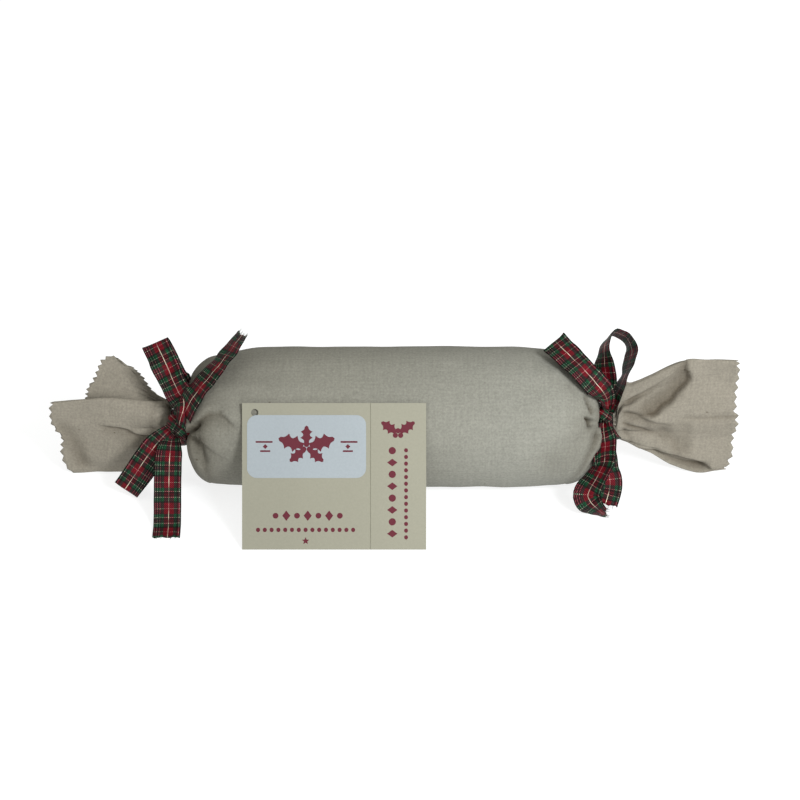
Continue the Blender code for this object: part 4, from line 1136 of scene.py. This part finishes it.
def tartan_material():
    """Woven tartan ribbon: warp and weft stripes crossing, with one lurex thread whose sparkle is painted as pale
    glints in its colour.
    """
    made, nodes, shader = new_material("tartan_ribbon", 0.55)
    shader.inputs["Specular IOR Level"].default_value = 0.12
    uv = nodes.add("ShaderNodeSeparateXYZ", {0: nodes.add("ShaderNodeTexCoord").outputs["UV"]}).outputs
    across = nodes.math("MULTIPLY", uv[1], 1000.0)
    along = nodes.math("MULTIPLY", uv[0], 1000.0)
    warp = nodes.ramp(nodes.math("DIVIDE", across, RIBBON_WIDTH), [(place / RIBBON_WIDTH, colour)
                                                                   for place, colour in WARP_SETT], "CONSTANT")
    turn = nodes.math("FRACT", nodes.math("DIVIDE", along, SETT_REPEAT))
    weft = nodes.ramp(turn, [(place / SETT_REPEAT, colour) for place, colour in WEFT_SETT], "CONSTANT")
    twill = nodes.math("FRACT", nodes.math("MULTIPLY", nodes.math("ADD", along, across), 0.95))
    ridge = nodes.math("ABSOLUTE", nodes.math("SUBTRACT", nodes.math("MULTIPLY", twill, 2.0), 1.0))
    over = nodes.add("ShaderNodeMapRange", {0: ridge, 1: 0.30, 2: 0.70}).outputs[0]
    woven = nodes.mix(over, warp, weft)
    crossed = nodes.mix(1.0, nodes.add("ShaderNodeGamma", {0: warp, 1: WARP_SHARE}).outputs[0],
                        nodes.add("ShaderNodeGamma", {0: weft, 1: 1.0 - WARP_SHARE}).outputs[0], "MULTIPLY")
    base = nodes.mix(0.16, crossed, woven)
    base = nodes.mix(1.0, base, nodes.ramp(ridge, [(0.25, grey(0.16)), (0.75, grey(1.45))]), "MULTIPLY")
    place = nodes.add("ShaderNodeTexCoord").outputs["Object"]
    # painted glints: along the lurex thread a pale gold colour shows in noise spots, standing in for its sparkle; there
    # the thread is also more metallic and smoother
    glint = nodes.add("ShaderNodeTexNoise", {"Vector": place, "Scale": 110.0, "Detail": 1.0}).outputs[0]
    lurex = nodes.math("COMPARE", across, 8.0, 0.16)
    shine = nodes.math("MULTIPLY", lurex, nodes.ramp(glint, [(0.44, grey(0.10)), (0.60, grey(1.0))]))
    base = nodes.mix(nodes.math("MULTIPLY", shine, 0.9), base, (0.66, 0.60, 0.46, 1.0))
    worn = nodes.add("ShaderNodeTexNoise", {"Vector": place, "Scale": 380.0, "Detail": 2.0}).outputs[0]
    base = nodes.mix(1.0, base, nodes.ramp(worn, [(0.3, grey(0.7)), (0.7, grey(1.2))]), "MULTIPLY")
    nodes.tree.links.new(base, shader.inputs["Base Color"])
    nodes.tree.links.new(nodes.math("MULTIPLY_ADD", shine, -0.25, 0.55), shader.inputs["Roughness"])
    nodes.tree.links.new(nodes.math("MULTIPLY", shine, 0.3), shader.inputs["Metallic"])
    ribs = nodes.math("ABSOLUTE", nodes.math("SINE", nodes.math("MULTIPLY", along, math.pi / 0.42)))
    bump = nodes.add("ShaderNodeBump", {"Strength": 0.5, "Distance": 0.0001, "Height": nodes.math("ADD", ribs, ridge)})
    nodes.tree.links.new(bump.outputs[0], shader.inputs["Normal"])
    return made


def card_material(name, colour, grain):
    """Uncoated card or paper, with a faint fibre grain and tone, and painted light: darker to the left, lighter to the
    right.
    """
    made, nodes, shader = new_material(name, 0.75)
    shader.inputs["Specular IOR Level"].default_value = 0.3
    coords = nodes.add("ShaderNodeTexCoord").outputs
    fibres = nodes.add("ShaderNodeTexNoise", {"Vector": coords["Object"], "Scale": 900.0, "Detail": 3.0}).outputs[0]
    cloud = nodes.add("ShaderNodeTexNoise", {"Vector": coords["Object"], "Scale": 18.0, "Detail": 2.0}).outputs[0]
    place = nodes.add("ShaderNodeSeparateXYZ", {0: coords["Object"]}).outputs
    # painted light: the colour is scaled from 0.95 at x = -60 mm to 1.05 at x = 0, darker on the left where less light
    # falls and lighter towards the flap
    flap = nodes.add("ShaderNodeMapRange", {0: place[0], 1: -0.060, 2: 0.0, 3: 0.95, 4: 1.05}).outputs[0]
    base = nodes.mix(1.0, (*colour, 1.0), nodes.ramp(fibres, [(0.3, grey(0.97)), (0.7, grey(1.03))]), "MULTIPLY")
    base = nodes.mix(1.0, base, nodes.ramp(cloud, [(0.3, grey(0.98)), (0.7, grey(1.02))]), "MULTIPLY")
    tone = nodes.add("ShaderNodeCombineXYZ", {0: flap, 1: flap, 2: flap}).outputs[0]
    base = nodes.mix(1.0, base, tone, "MULTIPLY")
    nodes.tree.links.new(base, shader.inputs["Base Color"])
    bump = nodes.add("ShaderNodeBump", {"Strength": grain, "Distance": 0.00005, "Height": fibres})
    nodes.tree.links.new(bump.outputs[0], shader.inputs["Normal"])
    return made


# ---------------------------------------------------------------- settings and operators


class PuddingSettings(bpy.types.PropertyGroup):
    """Sizes and colours that a user would change."""

    cloth_thickness: FloatProperty(name="Cloth thickness", description="Thickness of the calico, in millimetres",
                                   default=0.45, min=0.1, max=2.0)
    cloth_colour: FloatVectorProperty(name="Calico", description="Colour of the unbleached calico", subtype="COLOR",
                                      size=3, default=(0.228, 0.230, 0.202))
    frill_colour: FloatVectorProperty(name="Calico, frills", description="Warmer colour of the dry calico frills",
                                      subtype="COLOR", size=3, default=(0.225, 0.208, 0.172))
    card_colour: FloatVectorProperty(name="Card", description="Colour of the tag's card", subtype="COLOR", size=3,
                                     default=(0.235, 0.232, 0.184))
    label_colour: FloatVectorProperty(name="Label", description="Colour of the tag's label panel", subtype="COLOR",
                                      size=3, default=(0.270, 0.305, 0.330))
    print_colour: FloatVectorProperty(name="Print", description="Colour of the ornaments on the tag", subtype="COLOR",
                                      size=3, default=(0.090, 0.010, 0.020))
    camera_distance: FloatProperty(name="Camera distance", description="From the lens to the roll's axis",
                                   default=1.2, unit="LENGTH")
    ambient: FloatProperty(name="Ambient light", description="Strength of the even light from all round",
                           default=0.72, min=0.0)
    front_fill: FloatProperty(name="Front fill", description="How much brighter the even light is from the front",
                              default=0.25, min=0.0)
    front_light: FloatProperty(name="Front light", description="Power of the soft light at the front right, in watts",
                               default=15.5, min=0.0)
    floor_light: FloatProperty(name="Floor light", description="How strongly the studio table glows",
                               default=0.78, min=0.0)
    floor_colour: FloatVectorProperty(name="Floor", description="Colour of the studio floor", subtype="COLOR",
                                      size=3, default=(0.32, 0.33, 0.34))


class PUDDING_OT_cloth(bpy.types.Operator):
    """Make the calico cloth with its gathered necks and frills"""

    bl_idname = "pudding.cloth"
    bl_label = "Calico cloth"

    def execute(self, context):
        settings = context.scene.pudding
        cloth = calico_cloth(settings.cloth_thickness)
        material = calico_material(settings.cloth_colour, settings.frill_colour, weave_group())
        finish_piece(cloth, material, "wrapped_pudding")
        return {"FINISHED"}


class PUDDING_OT_bows(bpy.types.Operator):
    """Tie the two tartan bows round the necks of the cloth"""

    bl_idname = "pudding.bows"
    bl_label = "Tartan bows"

    def execute(self, context):
        cloth = bpy.data.objects["calico_cloth"]
        tree = BVHTree.FromObject(cloth, context.evaluated_depsgraph_get())
        material = tartan_material()
        left = bow("bow_left", LEFT_STRIPS, LEFT_KNOT, LEFT_KNOT_SIZE, LEFT_KNOT_SHIFT,
                   math.radians(50.0), LEFT_NECK, 2.0, tree)
        finish_piece(left, material, "ribbon_left")
        right = bow("bow_right", RIGHT_STRIPS, RIGHT_KNOT, RIGHT_KNOT_SIZE, RIGHT_KNOT_SHIFT,
                    math.radians(55.0), RIGHT_NECK, 5.0, tree)
        finish_piece(right, material, "ribbon_right")
        return {"FINISHED"}


class PUDDING_OT_tag(bpy.types.Operator):
    """Finish the card tag: its card, its label panel and its print"""

    bl_idname = "pudding.tag"
    bl_label = "Card tag"

    def execute(self, context):
        settings = context.scene.pudding
        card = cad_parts["tag_card"]
        card.material_slots[0].material = card_material("tag_card_stock", settings.card_colour, 0.25)
        top = TAG_THICKNESS / 2.0
        label = printed_shape(rounded_outline(*LABEL_SIZE, LABEL_CORNER, 8), LABEL_MIDDLE, top - 0.1, top + 0.09)
        label.name = "label_panel"
        settle_on_tag(label)
        finish_piece(label, card_material("label_paper", settings.label_colour, 0.1), None)
        ornaments = tag_print()
        ornaments.name = "tag_ornaments"
        settle_on_tag(ornaments)
        finish_piece(ornaments, card_material("dark_red_ink", settings.print_colour, 0.1), None)
        return {"FINISHED"}


class PUDDING_OT_studio(bpy.types.Operator):
    """Make the floor, the lights and the camera"""

    bl_idname = "pudding.studio"
    bl_label = "Studio"

    def execute(self, context):
        settings = context.scene.pudding
        bpy.ops.mesh.primitive_plane_add(size=12.0, location=(0.0, 0.0, 0.0))
        floor = context.object
        floor.name = "floor"
        paint, _, shader = new_material("floor_paint", 0.9)
        shader.inputs["Base Color"].default_value = (*settings.floor_colour, 1.0)
        shader.inputs["Specular IOR Level"].default_value = 0.0
        shader.inputs["Emission Color"].default_value = (1.0, 1.0, 1.0, 1.0)
        shader.inputs["Emission Strength"].default_value = settings.floor_light
        floor.data.materials.append(paint)

        world = bpy.data.worlds.new("studio")
        world.use_nodes = True
        nodes = Nodes(world.node_tree)
        facing = nodes.add("ShaderNodeSeparateXYZ", {0: nodes.add("ShaderNodeTexCoord").outputs["Generated"]}).outputs
        level = nodes.math("MULTIPLY_ADD", facing[1], -settings.front_fill, settings.ambient)
        background = world.node_tree.nodes["Background"]
        background.inputs["Color"].default_value = (1.0, 0.985, 0.93, 1.0)
        world.node_tree.links.new(level, background.inputs["Strength"])
        context.scene.world = world

        lamp = bpy.data.lights.new("front_light", "AREA")
        lamp.energy = settings.front_light
        lamp.size = 0.35
        light = bpy.data.objects.new("front_light", lamp)
        light.location = (0.62, -0.85, 0.78)
        light.rotation_euler = (-light.location).to_track_quat("-Z", "Y").to_euler()
        context.scene.collection.objects.link(light)

        lens = bpy.data.cameras.new("camera")
        lens.lens = 100.0
        lens.sensor_width = 36.0
        camera = bpy.data.objects.new("camera", lens)
        aim = Vector((0.00243, 0.0, AXIS_HEIGHT * MM)) + Vector(UP) * 0.00918
        camera.location = aim + Vector(OUT) * settings.camera_distance
        camera.rotation_euler = (-Vector(OUT)).to_track_quat("-Z", "Y").to_euler()
        context.scene.collection.objects.link(camera)
        context.scene.camera = camera
        context.scene.view_settings.view_transform = "Standard"
        return {"FINISHED"}


class PUDDING_PT_panel(bpy.types.Panel):
    """Sidebar panel that lists the settings and the operators"""

    bl_idname = "PUDDING_PT_panel"
    bl_label = "Christmas Pudding"
    bl_space_type = "VIEW_3D"
    bl_region_type = "UI"
    bl_category = "Pudding"

    def draw(self, context):
        settings = context.scene.pudding
        for name in PuddingSettings.__annotations__:
            self.layout.prop(settings, name)
        for operator in OPERATORS:
            self.layout.operator(operator.bl_idname)


OPERATORS = (PUDDING_OT_cloth, PUDDING_OT_bows, PUDDING_OT_tag, PUDDING_OT_studio)
CLASSES = (PuddingSettings, *OPERATORS, PUDDING_PT_panel)


def register():
    for cls in CLASSES:
        bpy.utils.register_class(cls)
    bpy.types.Scene.pudding = PointerProperty(type=PuddingSettings)


def unregister():
    del bpy.types.Scene.pudding
    for cls in reversed(CLASSES):
        bpy.utils.unregister_class(cls)


def main():
    register()
    bpy.ops.pudding.cloth()
    bpy.ops.pudding.bows()
    bpy.ops.pudding.tag()
    bpy.ops.pudding.studio()


if __name__ == "__main__":
    main()
